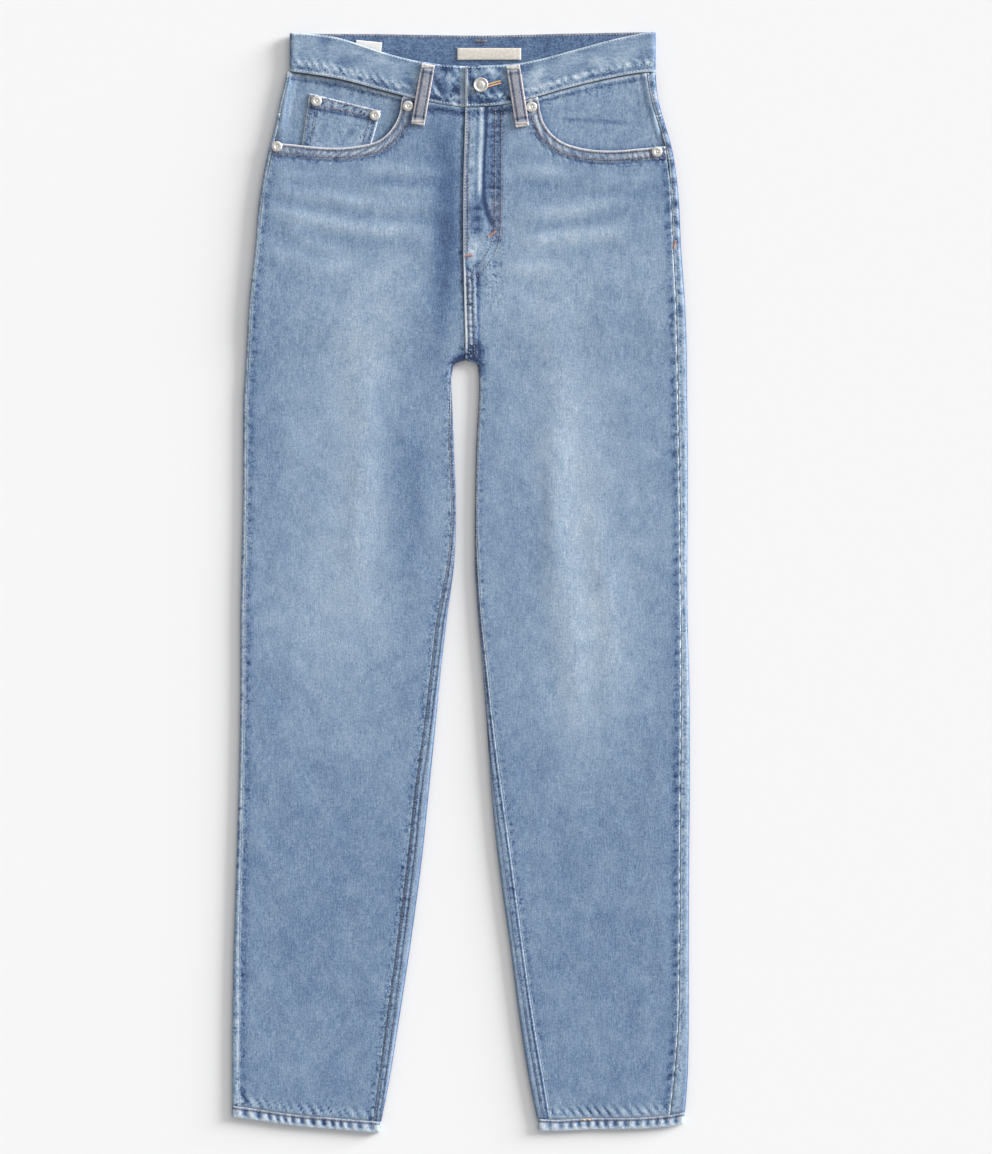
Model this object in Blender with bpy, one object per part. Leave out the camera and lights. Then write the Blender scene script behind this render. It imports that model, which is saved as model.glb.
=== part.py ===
"""Five-pocket jeans, laid flat, front upwards.

The frame is the garment's own: +X to the wearer's left, +Y towards the waist,
+Z up out of the front, and z = 0 is the surface the jeans lie on.
Lengths in the tables are millimetres; every mesh is made in metres.
"""
import math

import bmesh
import bpy
from mathutils import Vector

MM = 0.001

# Cloth and gaps
DENIM = 1.1            # wall of one layer of denim
BAND = 2.3             # waistband, denim doubled
SEAM_GAP = 0.3         # between pieces that are sewn together
BAND_SEAM_GAP = 0.7    # under the waistband, whose seam line is a curve
HALF_GAP = SEAM_GAP / 2
LIFT = DENIM + 0.35    # the hips lie on the patch pockets and the back loops

# Heights of the lying garment, underside to top, without the lift
LEG_LOFT = 5.4
HIP_LOFT = 6.2
LOFT_RISE = (150.0, 380.0)
LIFT_RISE = (212.0, 268.0)

# Places up the garment, measured from the middle of its length
CROTCH = 221.0
FLY_FOOT = 322.0
FLAT_ROW = 398.0       # below it every row of a panel runs straight across
HEM_DEPTH = 11.5
HEM_SWING = -330.0     # below it the rows swing into the slope of the hem
UNDERLAP = 12.0        # the right front goes this far under the fly
FLY_WIDTH = 19.0
FLY_RAISE = 0.8
FLY_SINK = 0.7
FELL_WIDTH = 12.5
FELL_RAISE = 0.5
MOUTH_HEM = 12.0
MOUTH_HEM_RAISE = 0.4

RIGHT = "right"
LEFT = "left"

# Outline and seams of each leg: height, outer edge, outseam, inseam, inner edge
LEG = {
    RIGHT: (
        (551.0, -171.5, -169.0, 4.3, 4.3),
        (522.5, -173.0, -170.5, 4.3, 4.3),
        (502.5, -176.0, -173.5, 4.3, 4.3),
        (482.5, -181.0, -178.0, 4.3, 4.3),
        (462.5, -185.0, -181.5, 4.2, 4.2),
        (442.5, -190.0, -186.0, 3.6, 3.6),
        (422.5, -195.0, -191.0, 2.6, 2.6),
        (382.5, -202.0, -198.5, 2.1, 2.1),
        (332.5, -206.5, -203.5, 2.1, 2.1),
        (282.5, -212.0, -209.0, 3.0, 3.0),
        (232.5, -215.0, -212.0, 4.3, 4.3),
        (222.5, -215.6, -212.5, 4.5, 4.5),
        (219.5, -215.8, -212.7, 2.0, 3.2),
        (212.5, -216.2, -213.0, -8.4, -7.0),
        (202.5, -216.8, -213.6, -11.6, -10.0),
        (182.5, -218.0, -214.4, -11.6, -9.0),
        (137.5, -218.4, -214.8, -12.4, -7.2),
        (72.5, -218.8, -215.2, -9.8, -5.0),
        (18.5, -220.0, -216.2, -14.0, -7.0),
        (-35.5, -221.0, -217.4, -24.0, -14.0),
        (-90.5, -221.0, -217.4, -31.0, -20.5),
        (-137.5, -221.4, -217.6, -36.5, -25.0),
        (-217.5, -223.0, -219.0, -47.5, -33.0),
        (-282.5, -225.0, -220.4, -54.5, -39.8),
        (-369.5, -227.8, -222.2, -65.5, -51.6),
        (-445.5, -229.2, -222.4, -75.8, -63.2),
        (-500.0, -229.4, -222.6, -83.0, -72.0),
        (-560.0, -229.4, -221.0, -91.0, -84.0),
    ),
    LEFT: (
        (551.0, 194.8, 184.5, 4.3, 4.3),
        (522.5, 194.6, 185.0, 4.3, 4.3),
        (502.5, 195.2, 186.6, 4.3, 4.3),
        (482.5, 197.6, 190.4, 4.3, 4.3),
        (462.5, 203.0, 196.4, 4.2, 4.2),
        (442.5, 209.0, 202.4, 3.6, 3.6),
        (422.5, 213.4, 207.2, 2.6, 2.6),
        (382.5, 218.0, 210.2, 2.1, 2.1),
        (332.5, 220.4, 212.2, 2.1, 2.1),
        (282.5, 224.0, 214.8, 3.0, 3.0),
        (232.5, 226.0, 216.2, 4.3, 4.3),
        (222.5, 226.1, 216.4, 4.5, 4.5),
        (219.5, 226.1, 216.5, 7.0, 5.8),
        (212.5, 226.2, 216.7, 17.4, 16.0),
        (202.5, 226.3, 216.9, 19.4, 18.0),
        (182.5, 226.4, 217.2, 19.2, 17.8),
        (137.5, 227.0, 218.0, 17.2, 15.2),
        (72.5, 227.0, 219.0, 16.0, 13.8),
        (18.5, 226.4, 219.6, 17.4, 13.6),
        (-35.5, 226.8, 220.0, 21.0, 17.0),
        (-90.5, 228.4, 220.2, 27.0, 21.8),
        (-137.5, 229.0, 220.0, 32.0, 25.4),
        (-217.5, 229.0, 219.4, 42.5, 31.0),
        (-282.5, 228.4, 219.0, 51.5, 37.8),
        (-369.5, 228.0, 218.6, 63.0, 49.8),
        (-445.5, 228.0, 217.0, 74.2, 59.6),
        (-500.0, 226.6, 212.6, 83.6, 68.4),
        (-560.0, 221.4, 205.6, 93.0, 81.0),
    ),
}

# Lower edge of each leg: across, height
HEM = {
    RIGHT: ((-229.0, -535.0), (-203.0, -538.5), (-169.0, -543.5), (-124.0, -547.5), (-82.0, -551.0)),
    LEFT: ((78.0, -548.5), (98.0, -549.0), (128.0, -547.4), (174.0, -547.0), (208.0, -544.5), (224.0, -541.5)),
}

# Pocket mouths from the outseam to the waistband: across, height
MOUTH = {
    RIGHT: (
        (-186.5, 439.5), (-168.0, 438.0), (-152.0, 436.0), (-134.0, 434.4), (-114.0, 434.6),
        (-89.0, 438.5), (-77.0, 444.5), (-68.0, 454.5), (-61.4, 466.5), (-58.6, 487.2),
    ),
    LEFT: (
        (203.6, 436.0), (186.0, 434.4), (172.0, 433.2), (155.7, 431.5), (132.0, 432.0),
        (112.0, 436.1), (98.6, 441.2), (87.4, 451.5), (80.2, 463.5), (76.7, 486.2),
    ),
}

# Waistband seen from the front: across, top edge, lower seam
FRONT_BAND = (
    (-175.0, 549.6, 511.6),
    (-150.0, 548.5, 508.4),
    (-121.0, 544.2, 503.4),
    (-78.0, 530.2, 492.2),
    (-39.0, 520.6, 482.4),
    (4.0, 516.4, 475.6),
    (36.0, 517.2, 477.2),
    (67.0, 520.6, 483.4),
    (106.5, 530.6, 494.6),
    (149.0, 542.2, 504.6),
    (175.0, 548.0, 509.4),
    (184.0, 549.8, 510.2),
    (196.0, 551.2, 510.6),
)

# Waistband seen from the back: across, top edge, lower seam
BACK_BAND = (
    (-175.0, 549.6, 511.6),
    (-80.0, 549.0, 509.0),
    (18.0, 547.6, 507.6),
    (110.0, 549.6, 509.0),
    (184.0, 551.0, 510.2),
    (196.0, 551.2, 510.6),
)

# Centre back seam: height, across
CENTRE_BACK = ((551.0, 18.5), (510.0, 18.0), (440.0, 14.0), (330.0, 8.0), (240.0, 4.6), (222.5, 4.5), (200.0, 4.5))

# Yoke seam on the back: depth below the band at the centre and at the sides
YOKE_CENTRE = 70.0
YOKE_SIDE = 42.0

# Soft ridges in the fronts: side, from x, from y, to x, to y, bow, height, half width
RIDGES = (
    (RIGHT, -89.0, 412.0, -23.0, 410.0, 1.0, 0.6, 6.0),
    (RIGHT, -83.0, 392.0, -30.0, 392.0, -1.0, 0.6, 5.5),
    (RIGHT, -182.0, 394.0, -30.0, 376.5, -5.0, 0.8, 6.5),
    (RIGHT, -187.0, 372.5, -52.0, 353.0, -6.0, 0.9, 7.0),
    (RIGHT, -170.0, 354.5, -128.0, 332.5, -2.0, 0.6, 7.0),
    (LEFT, 60.0, 412.0, 103.0, 408.0, 1.0, 0.6, 6.0),
    (LEFT, 69.0, 368.0, 152.0, 381.0, -2.0, 0.8, 7.0),
    (LEFT, 68.0, 342.0, 159.0, 352.0, -2.0, 0.7, 7.0),
    (LEFT, 45.0, 315.5, 91.0, 316.5, -1.0, 0.5, 7.0),
    (RIGHT, -101.0, 210.0, -104.0, 10.0, 4.0, 0.6, 14.0),
    (LEFT, 108.0, 150.0, 114.0, -110.0, -5.0, 0.7, 13.0),
    (LEFT, 138.0, 60.0, 150.0, -140.0, 4.0, 0.5, 12.0),
)

# Rows of the panels below the straight row, from the hips to the hem
HIP_ROWS = (398.0, 389.0, 380.0, 371.0, 362.0, 353.0, 344.0, 335.0, 325.0, 315.0, 300.0, 284.0, 268.0, 254.0, 238.0)
CROTCH_ROWS = (222.5, 219.5, 212.5, 202.5, 182.5)
LEG_ROWS = (145.0, 105.0, 65.0, 25.0, -15.0, -57.0, -100.0, -142.0, -185.0, -227.0, -270.0, -312.0, -355.0,
            -398.0, -440.0, -485.0)

PUCKER_PITCH = 10.0
PUCKER_RAISE = 0.5


def smooth_steps(low, high, value):
    part = min(max((value - low) / (high - low), 0.0), 1.0)
    return part * part * (3.0 - 2.0 * part)


def table_value(rows, column, value):
    """Read a table at a place between its rows, along a smooth curve."""
    if rows[0][0] > rows[-1][0]:
        rows = tuple(reversed(rows))
    if value <= rows[0][0]:
        return rows[0][column]
    if value >= rows[-1][0]:
        return rows[-1][column]
    k = 0
    while rows[k + 1][0] < value:
        k += 1

    def slope(at):
        before = max(at - 1, 0)
        after = min(at + 1, len(rows) - 1)
        return (rows[after][column] - rows[before][column]) / (rows[after][0] - rows[before][0])

    x0, x1 = rows[k][0], rows[k + 1][0]
    y0, y1 = rows[k][column], rows[k + 1][column]
    span = x1 - x0
    s = (value - x0) / span
    rise = y1 - y0
    m0, m1 = slope(k) * span, slope(k + 1) * span
    if rise == 0.0:
        m0 = m1 = 0.0
    else:
        m0 = rise * min(max(m0 / rise, 0.0), 3.0)
        m1 = rise * min(max(m1 / rise, 0.0), 3.0)
    return (y0 * (1 + 2 * s) * (1 - s) ** 2 + m0 * s * (1 - s) ** 2
            + y1 * s * s * (3 - 2 * s) + m1 * s * s * (s - 1))


def along(points, share):
    """Point at a share of the length of an open line."""
    lengths = [0.0]
    for a, b in zip(points, points[1:]):
        lengths.append(lengths[-1] + math.dist(a, b))
    goal = share * lengths[-1]
    for k in range(len(points) - 1):
        if goal <= lengths[k + 1] or k == len(points) - 2:
            part = (goal - lengths[k]) / (lengths[k + 1] - lengths[k])
            return tuple(p + (q - p) * part for p, q in zip(points[k], points[k + 1]))


def loft(y):
    return LEG_LOFT + (HIP_LOFT - LEG_LOFT) * smooth_steps(*LOFT_RISE, y)


def lift(y):
    return LIFT * smooth_steps(*LIFT_RISE, y)


def sign(side):
    return 1.0 if side == LEFT else -1.0


def edge(side, column, y):
    return table_value(LEG[side], column, y)


def centre_back(y):
    return table_value(CENTRE_BACK, 1, y)


def hem_height(side, x):
    return table_value(HEM[side], 1, x)


def hem_middle(side):
    rows = HEM[side]
    return (rows[0][1] + rows[-1][1]) / 2


class Row:
    """One row across a leg or hip: where its edges, seams and levels are."""

    def __init__(self, side, height):
        self.side = side
        self.height = height
        self.swing = 1.0 - smooth_steps(hem_middle(side) + HEM_DEPTH, HEM_SWING, height)
        self.above_crotch = height > CROTCH
        self.outer = self.settle(1)
        self.outseam = self.settle(2)
        self.inseam = self.settle(3)
        self.inner = self.settle(4)
        self.base = lift(height)
        self.loft = loft(height)
        self.radius = self.loft / 2

    def y(self, x):
        return self.height + self.swing * (hem_height(self.side, x) - hem_middle(self.side))

    def settle(self, column):
        x = edge(self.side, column, self.height)
        for _ in range(4):
            x = edge(self.side, column, self.y(x))
        return x

    def top(self, x):
        """Height of the upper surface, which rounds over at the leg's edges."""
        drop = 0.0
        edges = [self.outer]
        if not self.above_crotch:
            edges.append(self.inner)
        for place in edges:
            inside = abs(x - place)
            if inside < self.radius:
                drop = self.radius - math.sqrt(max(self.radius ** 2 - (self.radius - inside) ** 2, 0.0))
        return self.base + self.loft - drop

    def inside(self, x):
        """Point of the inner face under the upper surface at x."""
        for place in (self.outer, self.inner):
            if place == self.inner and self.above_crotch:
                continue
            inside = abs(x - place)
            if inside < self.radius:
                toward = math.copysign(1.0, self.middle() - place)
                middle_x = place + toward * self.radius
                middle_z = self.base + self.radius
                scale = (self.radius - DENIM) / self.radius
                return middle_x + (x - middle_x) * scale, middle_z + (self.top(x) - middle_z) * scale
        return x, self.base + self.loft - DENIM

    def middle(self):
        return (self.outer + self.inner) / 2


def ridge_height(side, x, y):
    """Soft creases of the front, fading out before pockets, fly and seams."""
    total = 0.0
    for owner, x0, y0, x1, y1, bow, height, half in RIDGES:
        if owner != side:
            continue
        dx, dy = x1 - x0, y1 - y0
        length = math.hypot(dx, dy)
        s = ((x - x0) * dx + (y - y0) * dy) / length ** 2
        across = ((x - x0) * dy - (y - y0) * dx) / length
        if -0.3 < s < 1.3:
            across += bow * math.sin(math.pi * min(max(s, 0.0), 1.0))
            fade = smooth_steps(-0.25, 0.15, s) * (1.0 - smooth_steps(0.85, 1.25, s))
            total += height * fade * math.exp(-(across / half) ** 2)
    return total


def mouth_distance(side, x, y):
    best = 1e9
    line = MOUTH[side]
    for a, b in zip(line, line[1:]):
        ax, ay = a
        bx, by = b
        span = (bx - ax) ** 2 + (by - ay) ** 2
        s = min(max(((x - ax) * (bx - ax) + (y - ay) * (by - ay)) / span, 0.0), 1.0)
        best = min(best, math.hypot(x - ax - s * (bx - ax), y - ay - s * (by - ay)))
    return best


def fly_shape(side, x, y):
    """How far the fly lap, or the ridge of the seam below it, moves a front."""
    inward = (x - edge(side, 3, y)) * sign(side)
    if y >= FLY_FOOT - 40.0:
        strength = smooth_steps(FLY_FOOT - 40.0, FLY_FOOT + 8.0, y)
        if side == LEFT:
            return strength * FLY_RAISE * (1.0 - smooth_steps(FLY_WIDTH, FLY_WIDTH + 14.0, inward))
        return -strength * FLY_SINK * (1.0 - smooth_steps(0.5, 9.0, inward))
    return 0.0


def fell_shape(side, x, y):
    inward = (x - edge(side, 3, y)) * sign(side)
    if side == LEFT and y < FLY_FOOT - 10.0 and y > CROTCH:
        return FELL_RAISE * (1.0 - smooth_steps(FELL_WIDTH, FELL_WIDTH + 3.5, inward))
    return 0.0


def front_relief(side, x, y):
    """What moves both faces of a front panel."""
    keep = smooth_steps(MOUTH_HEM + 4.0, MOUTH_HEM + 22.0, mouth_distance(side, x, y))
    keep *= smooth_steps(4.0, 18.0, (x - edge(side, 1, y)) * -sign(side))
    keep *= smooth_steps(4.0, 24.0, (x - edge(side, 3, y)) * sign(side))
    return fly_shape(side, x, y) + keep * ridge_height(side, x, y)


def front_top(side, x, y):
    """Upper face of a front panel in the flat part of the hips."""
    return lift(y) + loft(y) + front_relief(side, x, y)


def new_object(name, bm, material, smooth=False):
    bmesh.ops.recalc_face_normals(bm, faces=bm.faces)
    mesh = bpy.data.meshes.new(name)
    bm.to_mesh(mesh)
    bm.free()
    if smooth:
        mesh.shade_smooth()
        mesh.set_sharp_from_angle(angle=math.radians(50))
    obj = bpy.data.objects.new(name, mesh)
    obj.data.materials.append(material)
    bpy.context.scene.collection.objects.link(obj)
    return obj


def make_material(name, colour, roughness, metallic=0.0):
    material = bpy.data.materials.new(name)
    material.use_nodes = True
    shader = material.node_tree.nodes["Principled BSDF"]
    shader.inputs["Base Color"].default_value = (*colour, 1.0)
    shader.inputs["Roughness"].default_value = roughness
    shader.inputs["Metallic"].default_value = metallic
    return material


def shell(name, outer, inner, material):
    """Closed wall between an outer and an inner grid of the same size."""
    bm = bmesh.new()
    layers = []
    for grid in (outer, inner):
        layers.append([[bm.verts.new(Vector(point) * MM) for point in row] for row in grid])
    rows, columns = len(outer), len(outer[0])
    for k, layer in enumerate(layers):
        for i in range(rows - 1):
            for j in range(columns - 1):
                corners = [layer[i][j], layer[i][j + 1], layer[i + 1][j + 1], layer[i + 1][j]]
                bm.faces.new(corners if k == 0 else corners[::-1])
    rim = [(0, j) for j in range(columns)]
    rim += [(i, columns - 1) for i in range(1, rows)]
    rim += [(rows - 1, j) for j in range(columns - 2, -1, -1)]
    rim += [(i, 0) for i in range(rows - 2, 0, -1)]
    for (a, b), (c, d) in zip(rim, rim[1:] + rim[:1]):
        bm.faces.new([layers[0][c][d], layers[0][a][b], layers[1][a][b], layers[1][c][d]])
    return new_object(name, bm, material)


def ring_tube(name, rings, material, closed):
    """Closed body through rings; an open run of rings gets an end cap each side."""
    bm = bmesh.new()
    loops = [[bm.verts.new(Vector(point) * MM) for point in ring] for ring in rings]
    pairs = list(zip(loops, loops[1:]))
    if closed:
        pairs.append((loops[-1], loops[0]))
    for a, b in pairs:
        for k in range(len(a)):
            nxt = (k + 1) % len(a)
            bm.faces.new([a[k], a[nxt], b[nxt], b[k]])
    if not closed:
        bm.faces.new(loops[0][::-1])
        bm.faces.new(loops[-1])
    return new_object(name, bm, material)


def lathe(name, profile, centre, segments, material):
    """Turned body from (radius, height) points that start and end on its axis."""
    bm = bmesh.new()
    verts = [bm.verts.new(Vector((r, 0.0, z)) * MM) for r, z in profile]
    edges = [bm.edges.new(pair) for pair in zip(verts, verts[1:])]
    bmesh.ops.spin(bm, geom=verts + edges, cent=(0, 0, 0), axis=(0, 0, 1), angle=math.tau,
                   steps=segments, use_merge=True, use_duplicate=False)
    bmesh.ops.remove_doubles(bm, verts=bm.verts, dist=0.00001)
    bmesh.ops.translate(bm, verts=bm.verts, vec=Vector(centre) * MM)
    return new_object(name, bm, material, smooth=True)


# Columns of a front panel near the middle, measured inwards from its edge
NEAR_FLY = {RIGHT: (-UNDERLAP, -0.5, 8.0, 18.0, 33.0), LEFT: (0.0, 1.5, FLY_WIDTH, 24.0, 34.0)}
NEAR_SEAM = {RIGHT: (HALF_GAP, 2.0, 8.0, 18.0, 33.0), LEFT: (HALF_GAP, 1.5, FELL_WIDTH, 16.0, 34.0)}
NEAR_LEG = {RIGHT: (HALF_GAP, 1.8, 5.0, 18.0, 33.0), LEFT: (HALF_GAP, 1.8, 5.0, 18.0, 34.0)}
FAR_COLUMNS = 8


def near_columns(side, height):
    if height >= FLY_FOOT:
        return NEAR_FLY[side]
    if height > CROTCH:
        return NEAR_SEAM[side]
    return NEAR_LEG[side]


def front_row_points(row):
    """Where the columns cross a straight row, from the middle to the outseam."""
    toward = sign(row.side)
    start = row.inseam
    end = row.outseam - toward * HALF_GAP
    points = [start + toward * step for step in near_columns(row.side, row.height)]
    last = points[-1]
    points += [last + (end - last) * (k + 1) / FAR_COLUMNS for k in range(FAR_COLUMNS)]
    return points


def front_top_edge(side):
    """Upper edge of a front panel: along the band, then down the pocket mouth."""
    toward = sign(side)
    middle = edge(side, 3, 475.6)
    steps = NEAR_FLY[side]
    seam = []
    for step in steps:
        x = middle + toward * step
        seam.append((x, table_value(FRONT_BAND, 2, x) - BAND_SEAM_GAP))
    between = (seam[-1][0] + MOUTH[side][-1][0]) / 2
    far = [seam[-1], (between, table_value(FRONT_BAND, 2, between) - BAND_SEAM_GAP)]
    far += list(reversed(MOUTH[side]))
    far[-1] = (edge(side, 2, far[-1][1]) - toward * HALF_GAP, far[-1][1])
    return seam + [along(far, (k + 1) / FAR_COLUMNS) for k in range(FAR_COLUMNS)]


def front_panel(side, material):
    """Front leg panel, from the waistband and the pocket mouth to the hem."""
    outer, inner = [], []
    first = Row(side, FLAT_ROW)
    upper = front_top_edge(side)
    lower = [(x, first.y(x)) for x in front_row_points(first)]
    for depth, share in ((0.0, 0.0), (MOUTH_HEM - 1.0, 0.0), (MOUTH_HEM + 1.0, 0.0),
                         (MOUTH_HEM / 2, 0.5)):
        top_row, under_row = [], []
        for a, b in zip(upper, lower):
            part = share + depth / math.dist(a, b)
            x = a[0] + (b[0] - a[0]) * part
            y = a[1] + (b[1] - a[1]) * part
            z = front_top(side, x, y)
            in_hem = share == 0.0 and depth < MOUTH_HEM and mouth_distance(side, x, y) < MOUTH_HEM
            top_row.append((x, y, z + (MOUTH_HEM_RAISE if in_hem else 0.0)))
            under_row.append((x, y, z - DENIM))
        outer.append(top_row)
        inner.append(under_row)
    for height in HIP_ROWS + CROTCH_ROWS + LEG_ROWS + (hem_middle(side) + HEM_DEPTH + HALF_GAP,):
        row = Row(side, height)
        top_row, under_row = [], []
        for x in front_row_points(row):
            y = row.y(x)
            relief = front_relief(side, x, y)
            low_x, low_z = row.inside(x)
            top_row.append((x, y, row.top(x) + relief + fell_shape(side, x, y)))
            under_row.append((low_x, y, low_z + relief))
        outer.append(top_row)
        inner.append(under_row)
    return shell("front_" + side, outer, inner, material)


ARC_COLUMNS = 4
BOTTOM_COLUMNS = 4
CENTRE_STEP = 1.5
CROTCH_WALL = 1.1      # the wall stands up in the crotch, so its inner face moves up the garment
CROTCH_FADE = (0.5, 0.8)


def wrap_start(row, seam, place):
    """Angle at which a seam lies on a rounded edge, or none on the flat."""
    inside = abs(seam - place)
    if inside > row.radius + 0.4:
        return None
    return math.acos(min(max((row.radius - inside) / row.radius, 0.0), 1.0))


def wrapped_side(row, seam, place):
    """Pairs of outer and inner points from a seam on top, round an edge, to the underside."""
    toward = math.copysign(1.0, row.middle() - place)
    middle_x = place + toward * row.radius
    middle_z = row.base + row.radius
    pairs = []
    start = wrap_start(row, seam, place)
    if start is None:
        x = seam - toward * HALF_GAP
        top = row.base + row.loft
        pairs.append(((x, top), (x, top - DENIM)))
        angles = [math.pi / 2 - math.pi * k / ARC_COLUMNS for k in range(ARC_COLUMNS + 1)]
    else:
        first = start - HALF_GAP / row.radius
        angles = [first, first * 0.7]
        angles += [first * 0.7 - (first * 0.7 + math.pi / 2) * k / ARC_COLUMNS for k in range(1, ARC_COLUMNS + 1)]
    for angle in angles:
        points = []
        for radius in (row.radius, row.radius - DENIM):
            points.append((middle_x - toward * radius * math.cos(angle), middle_z + radius * math.sin(angle)))
        pairs.append(tuple(points))
    return pairs


def back_row(row):
    """One row of a back panel: outseam, round under the leg, to the inseam or centre back."""
    pairs = wrapped_side(row, row.outseam, row.outer)
    toward = sign(row.side)
    start = row.outer - toward * row.radius
    if row.above_crotch:
        stop = centre_back(row.height) + toward * (CENTRE_STEP * (ARC_COLUMNS + 1) + HALF_GAP)
    else:
        stop = row.inner + toward * row.radius
    for k in range(1, BOTTOM_COLUMNS):
        x = start + (stop - start) * k / BOTTOM_COLUMNS
        pairs.append(((x, row.base), (x, row.base + DENIM)))
    if row.above_crotch:
        for k in range(ARC_COLUMNS + 2):
            x = stop - toward * CENTRE_STEP * k
            pairs.append(((x, row.base), (x, row.base + DENIM)))
    else:
        pairs += reversed(wrapped_side(row, row.inseam, row.inner))
    outer = [(a[0], row.y(a[0]), a[1]) for a, _ in pairs]
    inner = [(b[0], row.y(b[0]), b[1]) for _, b in pairs]
    if row.height in CROTCH_ROWS[:2]:
        for k in range(len(inner) - ARC_COLUMNS - 2, len(inner)):
            x, y, z = inner[k]
            low = 1.0 - smooth_steps(*CROTCH_FADE, (z - row.base) / row.loft)
            inner[k] = (x, y + CROTCH_WALL * low, z)
    return outer, inner


def yoke_line(side, x):
    """Height of the yoke seam on the back at x, and round on to the front."""
    middle = centre_back(440.0)
    reach = abs(x - middle) / abs(edge(side, 1, 470.0) - middle)
    centre = table_value(BACK_BAND, 2, middle) - YOKE_CENTRE
    outer = table_value(BACK_BAND, 2, edge(side, 1, 510.0)) - YOKE_SIDE
    return centre + (outer - centre) * min(reach, 1.0)


def slanted_rows(side, fractions, upper, lower):
    """Rows of a back piece between two slanting edges, wrapped round the side."""
    outer, inner = [], []
    for fraction in fractions:
        side_height = upper(edge(side, 1, 480.0)) * (1 - fraction) + lower(edge(side, 1, 440.0)) * fraction
        points = back_row(Row(side, side_height))
        rows = []
        for k in range(2):
            moved = []
            for column, (x, _, z) in enumerate(points[k]):
                y = upper(x) * (1 - fraction) + lower(x) * fraction
                if column <= ARC_COLUMNS + 1:
                    x += edge(side, 2, y) - edge(side, 2, side_height)
                else:
                    near = 1.0 - smooth_steps(0.0, 40.0, abs(x - centre_back(side_height)))
                    x += (centre_back(y) - centre_back(side_height)) * near
                moved.append((x, y, z))
            rows.append(moved)
        outer.append(rows[0])
        inner.append(rows[1])
    return outer, inner


def back_panel(side, material):
    """Back leg panel, from the yoke to the hem, coming round to the front at both seams."""
    side_top = yoke_line(side, edge(side, 1, 470.0))
    mouth_share = (side_top - MOUTH[side][0][1]) / (side_top - FLAT_ROW)
    outer, inner = slanted_rows(side, (0.0, mouth_share, 0.72), lambda x: yoke_line(side, x) - HALF_GAP,
                                lambda x: FLAT_ROW)
    for height in HIP_ROWS[::2] + CROTCH_ROWS + LEG_ROWS + (hem_middle(side) + HEM_DEPTH + HALF_GAP,):
        outer_row, inner_row = back_row(Row(side, height))
        outer.append(outer_row)
        inner.append(inner_row)
    return shell("back_" + side, outer, inner, material)


def yoke(side, material):
    """Back yoke, between the waistband and the back panel."""
    outer, inner = slanted_rows(side, (0.0, 0.5, 1.0), lambda x: table_value(BACK_BAND, 2, x) - BAND_SEAM_GAP,
                                lambda x: yoke_line(side, x) + HALF_GAP)
    return shell("yoke_" + side, outer, inner, material)


def hem(side, material):
    """Turned and stitched hem of one leg, with roping puckers on its front."""
    base_row = Row(side, hem_middle(side) + HEM_DEPTH / 2)
    toward = sign(side)
    radius = base_row.radius
    stations = []
    width = abs(base_row.outer - base_row.inner) - 2 * radius
    count = 2 * round(width / PUCKER_PITCH)
    start = base_row.outer - toward * radius
    for k in range(count + 1):
        wave = PUCKER_RAISE if k % 2 else 0.0
        stations.append((start - toward * width * k / count, math.pi / 2, wave))
    for k in range(1, ARC_COLUMNS):
        stations.append((None, math.pi / 2 - math.pi * k / ARC_COLUMNS, 0.0))
    for k in range(5):
        stations.append((start - toward * width * (1 - k / 4), -math.pi / 2, 0.0))
    for k in range(1, ARC_COLUMNS):
        stations.append(("outer", -math.pi / 2 + math.pi * k / ARC_COLUMNS, 0.0))
    wall = DENIM * 1.6
    rings = []
    for x, angle, wave in stations:
        ring = []
        for depth, step_in, wave_share in ((HEM_DEPTH, 0.0, 0.4), (HEM_DEPTH * 0.4, 0.0, 1.0), (0.6, 0.0, 0.8),
                                           (0.0, 0.6, 0.3), (0.6, wall, 0.0), (HEM_DEPTH, wall, 0.0)):
            if x is None:
                place, turn = base_row.inner + toward * radius, -toward
            elif x == "outer":
                place, turn = base_row.outer - toward * radius, toward
            else:
                place, turn = x, 0.0
            reach = radius - step_in
            px = place + turn * reach * math.cos(angle)
            pz = radius + reach * math.sin(angle) + wave * wave_share
            ring.append((px, hem_height(side, px) + depth, pz))
        rings.append(ring)
    return ring_tube("hem_" + side, rings, material, closed=True)


BAND_MIDDLE = HIP_LOFT - DENIM / 2
LAP_RAISE = 1.3
LAP_SINK = 1.35
LAP_EDGE = 4.3
LAP_UNDER = 27.0
BAND_FRONT_STEP = 11.5
BAND_BACK_STEP = 24.0
BAND_RIDGE = 0.35


def band_front_level(side, x):
    """Middle of the doubled waistband on the front, above the lift."""
    if side == LEFT:
        return BAND_MIDDLE + LAP_RAISE * (1.0 - smooth_steps(LAP_UNDER + 2.0, LAP_UNDER + 22.0, x))
    return BAND_MIDDLE - LAP_SINK * smooth_steps(LAP_EDGE - 14.0, LAP_EDGE - 1.0, x)


def band_station(x, top, low, z, angle, wave):
    """Ring of the doubled band at one station; angle 90 degrees faces up."""
    ring = []
    across, up = math.cos(angle), math.sin(angle)
    for height, out in ((low, 0.5), (low + 3.0, 0.5), (low + 10.0, 0.5), (top - 1.2, 0.5), (top, 0.15),
                        (top, -0.15), (top - 1.2, -0.5), (low, -0.5)):
        push = out * BAND
        if height == low + 10.0:
            push += BAND_RIDGE * wave
        ring.append((x + push * across, height, z + push * up))
    return ring


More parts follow.
